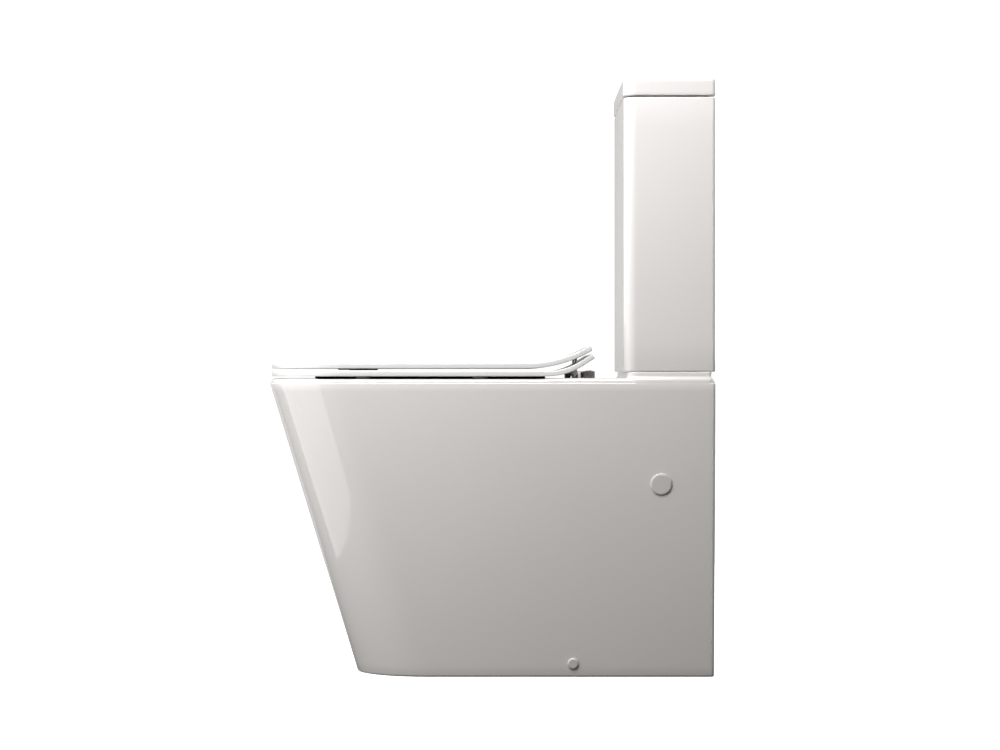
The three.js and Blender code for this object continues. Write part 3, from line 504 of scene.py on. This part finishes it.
def bowl_shapes():
    """Bowl outlines at a few heights from the mouth down, with eased ones in between."""
    stations = np.array([
        # height, half,  front,  back,  corner, back corner
        [0.4074, 0.1370, -0.262, 0.084, 0.094, 0.062],
        [0.3960, 0.1368, -0.2618, 0.084, 0.094, 0.062],
        [0.3840, 0.1340, -0.2590, 0.082, 0.092, 0.061],
        [0.3600, 0.1260, -0.2460, 0.078, 0.088, 0.059],
        [0.3250, 0.1110, -0.2170, 0.072, 0.082, 0.055],
        [0.2850, 0.0930, -0.1770, 0.067, 0.073, 0.050],
        [0.2450, 0.0760, -0.1340, 0.062, 0.064, 0.045],
        [0.2100, 0.0620, -0.0960, 0.056, 0.055, 0.041],
        [0.1850, 0.0530, -0.0700, 0.048, 0.049, 0.038],
        [0.1680, 0.0470, -0.0540, 0.038, 0.044, 0.036],
    ])
    rows = np.linspace(0, len(stations) - 1, 46)
    table = np.stack([np.interp(rows, np.arange(len(stations)), column) for column in stations.T], axis=1)
    kernel = np.array([1, 2, 3, 2, 1]) / 9
    padded = np.concatenate([table[:1].repeat(2, 0), table, table[-1:].repeat(2, 0)])
    return np.stack([np.convolve(column, kernel, mode="valid") for column in padded.T], axis=1)


def bowl_loops(grow=0.0):
    loops = []
    for z, half, front, back, corner, back_corner in bowl_shapes():
        shape = dict(half=half, front=front, back=back, corner=corner, back_corner=back_corner)
        loops.append(level(outline(**shrunk(shape, -grow)), z))
    return loops


def trap_loops(last_bowl_loop, grow=0.0):
    """Loops along the waste way: round the bowl's foot, up over the weir and down to the outlet.

    The centre line is made of arcs and straights. Each loop is an ellipse square to it, and eases
    from the bowl's foot to the round bore.
    """
    # each stretch: its turn in degrees, its radius, or its length if straight, and its loops
    bends = [(90, 0.048, 14), (60, 0.058, 9), (0, 0.069, 5), (-60, 0.058, 9),
             (-45, 0.058, 7), (0, 0.027, 3), (45, 0.058, 7)]
    nearest, furthest = last_bowl_loop[:, 1].min(), last_bowl_loop[:, 1].max()
    centre = np.array([(nearest + furthest) / 2, last_bowl_loop[0, 2]])
    bearing = np.arctan2(last_bowl_loop[:, 1] - centre[0], last_bowl_loop[:, 0])
    heading = 0.0
    half_y = (furthest - nearest) / 2 - grow
    half_x = last_bowl_loop[:, 0].max() - grow
    bore = 0.036
    loops = []
    done = 0
    for angle, size, steps in bends:
        for _ in range(steps):
            turn = math.radians(angle) / steps
            length = size * abs(turn) if angle else size / steps
            heading += turn / 2
            centre = centre + length * np.array([math.sin(heading), -math.cos(heading)])
            heading += turn / 2
            done += 1
            share = float(smooth_step(done, 0, 14))
            across = (half_x + (bore - half_x) * share + grow) * np.cos(bearing)
            along = (half_y + (bore - half_y) * share + grow) * np.sin(bearing)
            loops.append(np.stack([across, centre[0] + along * math.cos(heading),
                                   centre[1] + along * math.sin(heading)], axis=1))
    return loops, bearing, centre


def spigot_loops(bearing, centre, inner, outer):
    """The outlet's end: the bore widens a little, turns over the end face and comes back outside."""
    def ring(radius, y):
        across, rise = radius * np.cos(bearing), radius * np.sin(bearing)
        return np.stack([across, np.full(len(bearing), y), centre[1] + rise], axis=1)
    edge = 0.0012
    return [ring(inner, OUTLET_Y - 0.026), ring(inner, OUTLET_Y - edge),
            ring(inner + edge, OUTLET_Y), ring(outer - edge, OUTLET_Y),
            ring(outer, OUTLET_Y - edge), ring(outer, OUTLET_Y - 0.033),
            ring(outer - 0.001, OUTLET_Y - 0.034)]


def pan_edge():
    """Loops over the pan's edge: a slim lower bead, a shallow groove, and the round that meets the deck."""
    steps = np.array([  # how far in, how far above the shoulder, in millimetres
        [0.00, 0.0], [0.12, 0.5], [0.50, 1.0], [1.20, 1.35], [1.66, 1.7],
        [1.60, 2.3], [1.52, 2.9], [1.56, 3.5], [1.80, 4.3], [2.40, 5.3],
        [3.30, 6.3], [4.50, 7.15], [5.90, 7.70], [7.20, 7.95], [8.00, 8.0]]) / 1000
    rows = np.linspace(0, len(steps) - 1, 33)
    inset, rise = (np.interp(rows, np.arange(len(steps)), column) for column in steps.T)
    shape = wall_shape(SHOULDER)
    return [level(outline(**shrunk(shape, i)), SHOULDER + r) for i, r in zip(inset, rise)]


def pan():
    """One fired body: up the outside, over the rim, down the bowl, through the waste way and back inside."""
    rounded_foot = ((0.003, 0.0), (0.0012, 0.0004), (0.0003, 0.0014))
    foot = [level(outline(**wall_shape(z, inset)), z) for inset, z in rounded_foot]
    heights = np.linspace(0.003, DECK_UNDERSIDE, 30)
    outside = foot + [level(outline(**wall_shape(z)), z) for z in heights]
    edge = pan_edge()
    mouth = level(outline(**shrunk(MOUTH, -LIP)), DECK_TOP)
    plate = between(edge[-1], mouth, 22)
    lip = []
    for angle in np.radians(np.linspace(0, 90, 7)):
        grow = LIP * (1 - math.sin(angle))
        lip.append(level(outline(**shrunk(MOUTH, -grow)), DECK_TOP - LIP * (1 - math.cos(angle))))
    top = lowered_landing(edge + plate + lip)
    bowl = bowl_loops()[1:]
    waste, bearing, centre = trap_loops(bowl[-1])
    spigot = spigot_loops(bearing, centre, 0.040, 0.051)
    outer_bowl = bowl_loops(0.011)
    outer_waste, _, _ = trap_loops(outer_bowl[-1], 0.010)
    under_bowl = [loop for loop in outer_bowl if loop[0, 2] < DECK_UNDERSIDE - 0.004]
    inner_foot = dict(back=WALL_Y, back_corner=0.0005)
    inside = [level(outline(**wall_shape(z, WALL, **inner_foot)), z) for z in
              np.concatenate([[0.0, 0.0004, 0.0014], heights])]
    ceiling = between(level(outline(**shrunk(MOUTH, -0.013)), DECK_UNDERSIDE), inside[-1], 8)
    loops = outside + top + bowl + waste + spigot
    loops += outer_waste[::-1] + under_bowl[::-1] + ceiling + inside[::-1]
    grid = np.array(loops)
    rows, columns = grid.shape[:2]
    keep = np.ones((rows, columns), bool)
    rear = np.nonzero(np.abs(outline(**wall_shape(0.1))[:, 1] - WALL_Y) < 1e-6)[0]
    first, last = rear[0], rear[-1]
    wall_rows = len(outside)
    keep[:wall_rows - 1, first:last] = False
    keep[rows - wall_rows:, first:last] = False
    faces = grid_faces(rows, columns, True, keep).tolist()
    # The skirt's two rear edges: each joins the outside wall to the inside wall, row by row.
    outer = np.arange(wall_rows)
    inner = rows - 1 - outer
    for column in (first, last):
        strip = np.stack([outer[:-1] * columns + column, outer[1:] * columns + column,
                          inner[1:] * columns + column, inner[:-1] * columns + column], axis=1)
        faces += (strip if column == first else strip[:, ::-1]).tolist()
    return make_object("pan_body", grid.reshape(-1, 3), faces, GLAZE, "pan", 50)


def neck():
    """Raised pad under the cistern: upright sides whose foot sweeps out into the deck and the pan's edge."""
    shape = dict(half=0.178, front=0.1886, back=0.3055, corner=0.014, back_corner=0.005, bow=STRAIGHT)
    # height, and how far the foot stands out there in millimetres
    foot = [(0.4044, 4.4), (0.4065, 4.3), (0.4085, 4.15), (0.4098, 3.9), (0.4108, 3.5),
            (0.4116, 2.95), (0.4122, 2.3), (0.4128, 1.6), (0.4134, 1.05), (0.4141, 0.6),
            (0.4149, 0.25), (0.4158, 0.05), (0.4165, 0)]
    loops = [level(outline(**shrunk(shape, -grow / 1000)), z) for z, grow in foot]
    loops += quarter_round(shape, NECK_TOP - 0.0012, 0.0012, 5)
    loops.append(level(outline(**shrunk(shape, 0.002)), NECK_TOP))
    return loft("pan_neck", loops, GLAZE, "pan")


# ---------------------------------------------------------------- the cistern

def tank_shape(inset=0.0):
    corner = 0.017
    shape = dict(half=TANK_HIGH[0], front=TANK_LOW[1], back=TANK_HIGH[1],
                 corner=corner, back_corner=0.004, bow=STRAIGHT)
    return shrunk(shape, inset, corner=max(corner - inset, 0.006))


def cistern_tank():
    """Open box: up the outside with rounded edges, over the rim and down the inside to the floor."""
    low, high = TANK_LOW[2], TANK_HIGH[2]
    outer = tank_shape()
    edge = 0.0022
    loops = [level(outline(**shrunk(outer, 0.004)), low)]
    loops += quarter_round(outer, low + edge, edge, 5, drop=-1)[::-1]
    loops += between(loops[-1], level(outline(**outer), high - edge), 8)
    loops += quarter_round(outer, high - edge, edge, 5)
    inner = tank_shape(0.010)
    loops += quarter_round(shrunk(inner, -0.002), high - 0.002, 0.002, 5)[::-1]
    loops.append(level(outline(**inner), low + 0.030))
    loops += quarter_round(inner, low + 0.022, 0.010, 5, drop=-1)
    loops.append(level(outline(**shrunk(inner, 0.012)), low + 0.012))
    return loft("tank_body", loops, GLAZE, "pan")


def cistern_cover():
    """Thick cover: rounded top edge, a round hole for the buttons and a locating rib underneath."""
    low, high = TANK_HIGH[2] + 0.0018, COVER_HIGH[2]
    shape = dict(half=COVER_HIGH[0], front=COVER_LOW[1], back=COVER_HIGH[1],
                 corner=0.018, back_corner=0.004, bow=STRAIGHT)
    edge, under = 0.005, 0.0015
    hole = 0.0225
    plan = outline(**shape)
    top_rim = level(circle_like(plan, 0, BUTTON_Y, hole + 0.002), high)
    loops = quarter_round(shape, low + under, under, 4, drop=-1)[::-1]
    loops += between(loops[-1], level(plan, high - edge), 4)
    loops += quarter_round(shape, high - edge, edge, 9)
    flat = level(outline(**shrunk(shape, 0.006)), high)
    loops += [flat] + between(flat, top_rim, 10) + [top_rim]
    loops += [level(circle_like(plan, 0, BUTTON_Y, hole), z) for z in (high - 0.002, high - 0.010)]
    hollow = shrunk(shape, 0.022, corner=0.005)
    ceiling = level(outline(**hollow), high - 0.010)
    loops += between(loops[-1], ceiling, 3) + [ceiling]
    rib_low = low - 0.007
    loops += [level(outline(**hollow), rib_low + 0.001), level(outline(**shrunk(hollow, -0.001)), rib_low)]
    rib = shrunk(shape, 0.014, corner=0.006)
    loops += [level(outline(**shrunk(rib, 0.001)), rib_low), level(outline(**rib), rib_low + 0.001),
              level(outline(**rib), low)]
    return loft("cover_body", loops, GLAZE, "cistern_cover", closed=True)


# ---------------------------------------------------------------- seat and lid

def cut_with_boxes(piece, boxes):
    """Cuts square notches out of a piece."""
    for low, high in boxes:
        mesh = bpy.data.meshes.new("notch")
        corners = [[float(x), float(y), float(z)]
                   for z in (low[2], high[2]) for y in (low[1], high[1]) for x in (low[0], high[0])]
        sides = [(0, 2, 3, 1), (4, 5, 7, 6), (0, 1, 5, 4), (2, 6, 7, 3), (0, 4, 6, 2), (1, 3, 7, 5)]
        mesh.from_pydata(corners, [], sides)
        tool = bpy.data.objects.new("notch", mesh)
        bpy.context.scene.collection.objects.link(tool)
        cut = piece.modifiers.new("notch", "BOOLEAN")
        cut.operation = "DIFFERENCE"
        cut.solver = "EXACT"
        cut.object = tool
        graph = bpy.context.evaluated_depsgraph_get()
        result = bpy.data.meshes.new_from_object(piece.evaluated_get(graph))
        piece.modifiers.clear()
        piece.data = result
        bpy.data.objects.remove(tool)


def flared_shape(low, high, back):
    """Plan shape shared by the seat and the lid, from the node's box and the length before it is bent."""
    return dict(half=high[0], front=low[1], back=back, corner=SEAT_CORNER,
                back_corner=SEAT_BACK_CORNER, cut=SEAT_CUT)


def seat_ring():
    """Ring seat: rounded outer edge, flat top, soft inner edge and flat underside, flared up at the back."""
    low, high = RING_BOTTOM, RING_BOTTOM + RING_THICK
    outer, opening = flared_shape(RING_LOW, RING_HIGH, RING_BACK), SEAT_OPENING
    loops = quarter_round(outer, low + 0.0012, 0.0012, 5, drop=-1)[::-1]
    loops += quarter_round(outer, high - 0.0016, 0.0016, 6)
    top_outer = level(outline(**shrunk(outer, 0.003)), high)
    top_inner = level(outline(**shrunk(opening, -0.005)), high)
    loops += between(top_outer, top_inner, 26, ends=True)
    for angle in np.radians(np.linspace(0, 90, 7)):
        grow = INNER_EDGE * (1 - math.sin(angle))
        loops.append(level(outline(**shrunk(opening, -grow)), high - INNER_EDGE * (1 - math.cos(angle))))
    loops.append(level(outline(**opening), low + 0.0008))
    loops.append(level(outline(**shrunk(opening, -0.0008)), low))
    under_inner = level(outline(**shrunk(opening, -0.003)), low)
    under_outer = level(outline(**shrunk(outer, 0.003)), low)
    loops += between(under_inner, under_outer, 26, ends=True)
    bent = [flared(loop, base=low, **RING_FLARE) for loop in loops]
    ring = loft("seat_ring_body", bent, SEAT_WHITE, "seat", closed=True)
    notches = []
    for side in (-1, 1):
        middle = side * LID_ARM_X
        notches.append(((middle - NOTCH_HALF, 0.103, 0.40), (middle + NOTCH_HALF, 0.2, 0.47)))
    cut_with_boxes(ring, notches)
    return ring


def painted_shade_lip():
    """Soft black lip that hangs from the seat's inner edge and closes the slit above the rim: a dark strip
    that stands in for the shade in that slit, painted shade.
    """
    low, high = RING_BOTTOM - 0.0038, RING_BOTTOM + 0.0005
    outer = shrunk(SEAT_OPENING, -0.0048)
    inner = shrunk(SEAT_OPENING, -0.0008)
    soft = 0.0006
    loops = [level(outline(**inner), high), level(outline(**inner), low + soft),
             level(outline(**shrunk(inner, -soft)), low), level(outline(**shrunk(outer, soft)), low),
             level(outline(**outer), low + soft), level(outline(**outer), high)]
    # the black finish on this lip is painted shade for the slit between the seat and the rim
    return loft("seat_painted_shade_lip", loops, RUBBER_AND_SHADE, "seat", closed=True)


def seat_lid():
    """Solid slim cover, rounded at its edge, flared up at the back."""
    low, high = LID_BOTTOM, LID_BOTTOM + LID_THICK
    outer = flared_shape(LID_LOW, LID_HIGH, LID_BACK)
    centre = level(outline(half=0.006, front=-0.070, back=-0.050, corner=0.004, back_corner=0.004), 0.0)
    lift = np.array([0, 0, 1.0])
    under_edge = level(outline(**shrunk(outer, 0.003)), low)
    top_edge = level(outline(**shrunk(outer, 0.004)), high)
    loops = between(centre + lift * low, under_edge, 42, ends=True)
    loops += quarter_round(outer, low + 0.0010, 0.0010, 5, drop=-1)[::-1]
    loops += quarter_round(outer, high - 0.0022, 0.0022, 7)
    loops += between(top_edge, centre + lift * high, 42, ends=True)
    bent = [flared(loop, base=low, **LID_FLARE) for loop in loops]
    return loft("seat_lid_body", bent, SEAT_WHITE, "seat_cover")


def seat_buffers():
    """Four soft feet: a wide top that rounds in to a smaller flat sole."""
    for side, label in ((-1, "left"), (1, "right")):
        for end in ("front", "rear"):
            node = f"seat_buffer_{end}_{label}"
            low, high = (np.array(corner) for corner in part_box(node))
            centre = (low + high) / 2
            radius = (high[0] - low[0]) / 2
            bottom, top = -0.0018, 0.0018
            profile = [(0.0002, bottom)]
            for angle in np.radians(np.linspace(-90, -8, 9)):
                reach = radius * (0.62 + 0.38 * math.cos(angle))
                profile.append((reach, top + (top - bottom) * math.sin(angle)))
            profile += [(radius, top), (0.0002, top)]
            loops = moved(spun(profile, 48), centre)
            piece = loft(node + "_foot", loops, BUFFER_GREY, "seat")
            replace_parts(piece, node)


def lid_pads():
    for label in ("left", "right"):
        node = f"lid_buffer_{label}"
        low, high = (np.array(corner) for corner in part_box(node))
        high[2] = LID_BOTTOM + 0.0002
        piece = loft(node + "_pad", rounded_box(low, high, 0.0006), RUBBER_AND_SHADE, "seat_cover")
        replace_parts(piece, node)


# ---------------------------------------------------------------- hinges and caps

def hinge_posts():
    """Each post: a satin block that holds the pin, and a bright round turret under the seat's flare."""
    for side, label in ((-1, "left"), (1, "right")):
        x = side * HINGE_X
        block = rounded_box((x - 0.008, 0.1315, DECK_TOP), (x + 0.008, 0.1476, HINGE_TOP), 0.0012)
        satin = loft(f"hinge_block_{label}", block, SATIN, "pan")
        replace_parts(satin, f"hinge_pillar_{label}")
        loft(f"hinge_turret_{label}", turret_loops(x), CHROME, "pan")


def turret_loops(x, radius=0.011, y=0.120):
    """A short upright cylinder whose top is cut to follow the seat's flaring underside."""
    circle = spun([(1.0, 0.0)], 64)[0]
    plan = circle[:, :2] * radius + np.array([x, y])
    turn = np.clip((plan[:, 1] - RING_FLARE["start"]) / RING_FLARE["radius"], 0, 1)
    underside = RING_BOTTOM + RING_FLARE["radius"] * (1 - np.sqrt(1 - turn ** 2))
    top = np.minimum(underside - 0.0008, HINGE_TOP)
    middle = np.array([x, y])
    loops = [level(plan, DECK_TOP), np.column_stack([plan, top - 0.0006])]
    for share in (0.03, 0.06, 0.4):
        loops.append(np.column_stack([plan + (middle - plan) * share, top]))
    loops[2][:, 2] -= 0.0002
    return loops


def hinge_arms():
    """Arms that join the seat and the lid to the pin: a round knuckle, a bar forward and a short riser."""
    for side, label in ((-1, "left"), (1, "right")):
        for centre, body, front, back, top, name in (
                (SEAT_ARM_X, "seat", 0.1095, 0.121, HINGE_Z + 0.005, "seat_arm"),
                (LID_ARM_X, "seat_cover", 0.1200, 0.1232, LID_BOTTOM + 0.0165, "lid_arm")):
            x = side * centre
            low = HINGE_Z - 0.0043
            bar = rounded_box((x - ARM_HALF, front, low), (x + ARM_HALF, HINGE_Y, HINGE_Z + 0.001), 0.0008)
            loft(f"{name}_bar_{label}", bar, SEAT_WHITE, body)
            riser = rounded_box((x - ARM_HALF, front, low), (x + ARM_HALF, back, top), 0.0008)
            loft(f"{name}_riser_{label}", riser, SEAT_WHITE, body)
            barrel = spun(rounded_profile(0.005, -ARM_HALF, ARM_HALF, 0.0006), 40)
            knuckle = moved(barrel, (x, HINGE_Y, HINGE_Z), "+x")
            loft(f"{name}_knuckle_{label}", knuckle, SEAT_WHITE, body)


def cover_caps():
    """Round plugs in the skirt: a flat face, a soft bevel and a thin rim against the glaze."""
    tilt = math.atan((TOP_HALF - BASE_HALF) / SHOULDER)
    rim = 0.0004
    sizes_of = {"side_cap": (0.015, 0.003, 0.0021), "fixing_cap": (0.00775, 0.0026, 0.0024)}
    for node, (radius, bevel, proud) in sizes_of.items():
        for side, label in ((-1, "left"), (1, "right")):
            low, high = (np.array(corner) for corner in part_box(f"{node}_{label}"))
            y, z = (low[1] + high[1]) / 2, (low[2] + high[2]) / 2
            face = BASE_HALF + (TOP_HALF - BASE_HALF) * z / SHOULDER
            stem = radius * 0.6
            profile = [(0.0002, -0.004), (stem, -0.004), (stem, 0.0),
                       (radius - 0.0003, 0.0), (radius, 0.0003)]
            for angle in np.radians(np.linspace(0, 90, 9)):
                rise = rim + (proud - rim) * math.sin(angle)
                profile.append((radius - bevel * (1 - math.cos(angle)), rise))
            profile += [(radius - bevel - 0.0008, proud), (0.0002, proud)]
            loops = moved(spun(profile, 64), (0, 0, 0), "+x" if side > 0 else "-x")
            turn = side * tilt
            turned = []
            for loop in loops:
                x0, y0, z0 = loop.T
                turned.append(np.stack([x0 * math.cos(turn) + z0 * math.sin(turn) + side * face, y0 + y,
                                        z0 * math.cos(turn) - x0 * math.sin(turn) + z], axis=1))
            piece = loft(f"{node}_{label}_cap", turned, CAP_WHITE, "pan")
            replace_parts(piece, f"{node}_{label}")


# ---------------------------------------------------------------- buttons

def button_parts():
    """Bright dish ring in the cover, with a press plate split into a large and a small part."""
    base = COVER_HIGH[2]
    ring = [(0.0204, base - 0.020), (0.022, base - 0.020), (0.022, base), (0.0286, base),
            (0.029, base + 0.0005), (0.0287, base + 0.0012), (0.0275, base + 0.0021),
            (0.0255, base + 0.0025), (0.0228, base + 0.0022), (0.0212, base + 0.0017),
            (0.0204, base + 0.0010)]
    loops = moved(spun(ring, 96), (0, BUTTON_Y, 0))
    bezel = loft("button_ring", loops, CHROME, "cistern_cover", closed=True)
    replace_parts(bezel, "button_bezel")
    plates = (("full_flush_button", "full_button", -1), ("half_flush_button", "half_button", 1))
    for node, body, side in plates:
        piece = loft(node + "_plate", press_plate(side, base), CHROME, body)
        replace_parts(piece, node)


def press_plate(side, base, radius=0.020, split=0.004, edge=0.0009):
    """Loops of a disc's part on one side of a straight split, its top edge rounded over."""
    line = split + side * 0.0003
    half_angle = math.acos(line / radius) if side > 0 else math.pi - math.acos(line / radius)
    middle = 0.0 if side > 0 else math.pi
    rim = arc(0, BUTTON_Y, radius, middle - half_angle, middle + half_angle, 72)
    chord = np.linspace(rim[-1], rim[0], 26)[1:-1]
    plan = np.concatenate([rim, chord])
    centre = plan.mean(axis=0)
    inward = (centre - plan) / np.linalg.norm(centre - plan, axis=1)[:, None]
    top = base + 0.0026
    loops = [level(plan + inward * 0.0006, base - 0.0084), level(plan, base - 0.008)]
    for angle in np.radians(np.linspace(0, 90, 6)):
        drawn_in = plan + inward * edge * (1 - math.cos(angle))
        loops.append(level(drawn_in, top - edge + edge * math.sin(angle)))
    loops.append(level(plan + (centre - plan) * 0.12, top))
    return loops


# ---------------------------------------------------------------- carried-over nodes

def dress_nodes():
    """Fittings whose solids are already the right shape get their finish."""
    finishes = {"steel": ZINC, "white_plastic": FITTING_WHITE, "grey_plastic": FITTING_GREY,
                "blue_plastic": FITTING_BLUE, "rubber": RUBBER_AND_SHADE, "chrome": SATIN, "cap_plastic": CAP_WHITE,
                "buffer": BUFFER_GREY, "ceramic": GLAZE, "seat_plastic": SEAT_WHITE}
    for part in frame["record"]["subparts"]:
        node = frame["nodes"][part["node"]]
        node.data.materials.clear()
        node.data.materials.append(finishes[part["material_slot"]])


# ---------------------------------------------------------------- floor, light and camera

def only_seen(stage_piece):
    """A piece of the set that the camera sees, but that throws no light or reflection on the object."""
    stage_piece.visible_diffuse = False
    stage_piece.visible_glossy = False
    stage_piece.visible_transmission = False
    stage_piece.visible_shadow = False


def pale_floor():
    """A plain pale floor, lifted close to white, that still takes a soft shadow."""
    material, nodes, links, shader, place = surface_material("pale_floor", (0.93, 0.93, 0.93), 0.6)
    clouds = noise(nodes, links, place, 1.5)
    vary_color(nodes, links, shader, clouds, (0.92, 0.92, 0.92), (0.94, 0.94, 0.94))
    shader.inputs["Specular IOR Level"].default_value = 0.0
    shader.inputs["Emission Color"].default_value = (1, 1, 1, 1)
    shader.inputs["Emission Strength"].default_value = FLOOR_GLOW
    size = FLOOR_HALF
    mesh = bpy.data.meshes.new("floor")
    corners = [(-size, -size, 0), (size, -size, 0), (size, size, 0), (-size, size, 0)]
    mesh.from_pydata(corners, [], [(0, 1, 2, 3)])
    floor = bpy.data.objects.new("floor", mesh)
    floor.data.materials.append(material)
    bpy.context.scene.collection.objects.link(floor)
    only_seen(floor)


def backdrop():
    """A plain white dome round the set, so that every view has a white background."""
    mesh = bpy.data.meshes.new("backdrop")
    work = bmesh.new()
    bmesh.ops.create_uvsphere(work, u_segments=48, v_segments=24, radius=BACKDROP_RADIUS)
    work.to_mesh(mesh)
    work.free()
    material = bpy.data.materials.new("backdrop_white")
    material.use_nodes = True
    shader = material.node_tree.nodes["Principled BSDF"]
    shader.inputs["Base Color"].default_value = (0, 0, 0, 1)
    shader.inputs["Specular IOR Level"].default_value = 0.0
    shader.inputs["Emission Color"].default_value = (1, 1, 1, 1)
    shader.inputs["Emission Strength"].default_value = BACKDROP_GLOW
    mesh.materials.append(material)
    dome = bpy.data.objects.new("backdrop", mesh)
    bpy.context.scene.collection.objects.link(dome)
    only_seen(dome)


def area_light(name, place, target, width, height, power):
    """A rectangular light at a place, turned to face a target."""
    light = bpy.data.lights.new(name, "AREA")
    light.shape = "RECTANGLE"
    light.size = width
    light.size_y = height
    light.energy = power
    lamp = bpy.data.objects.new(name, light)
    bpy.context.scene.collection.objects.link(lamp)
    lamp.location = place
    direction = np.array(target) - np.array(place)
    yaw = math.atan2(direction[1], direction[0])
    pitch = math.atan2(direction[2], math.hypot(direction[0], direction[1]))
    lamp.rotation_euler = (math.pi / 2 + pitch, 0, yaw - math.pi / 2)
    return lamp


def studio():
    """A dim, slightly warm surround and the soft panels listed at the top."""
    world = bpy.data.worlds.new("studio")
    world.use_nodes = True
    world.node_tree.nodes["Background"].inputs["Color"].default_value = SURROUND_COLOR
    world.node_tree.nodes["Background"].inputs["Strength"].default_value = SURROUND
    bpy.context.scene.world = world
    bpy.context.scene.view_settings.view_transform = "Standard"
    for name, place, target, width, height, radiance in LIGHTS:
        power = radiance * width * height * math.pi
        lamp = area_light(name, place, target, width, height, power)
        lamp.visible_camera = False


def camera():
    """Level view square to the right-hand side, from a little over four metres."""
    lens = bpy.data.cameras.new("view")
    lens.sensor_width = 36.0
    lens.lens = LENS
    eye = bpy.data.objects.new("view", lens)
    eye.location = EYE
    eye.rotation_euler = (math.pi / 2, 0, math.pi / 2)
    bpy.context.scene.collection.objects.link(eye)
    bpy.context.scene.camera = eye


dress_nodes()
camera()
studio()
pale_floor()
backdrop()
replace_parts(pan(), "pan")
neck()
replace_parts(cistern_tank(), "cistern_tank")
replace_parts(cistern_cover(), "cistern_lid")
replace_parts(seat_ring(), "seat_ring")
# painted shade: a black lip fills the slit between the seat and the rim
painted_shade_lip()
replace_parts(seat_lid(), "seat_lid")
seat_buffers()
lid_pads()
hinge_posts()
hinge_arms()
cover_caps()
button_parts()
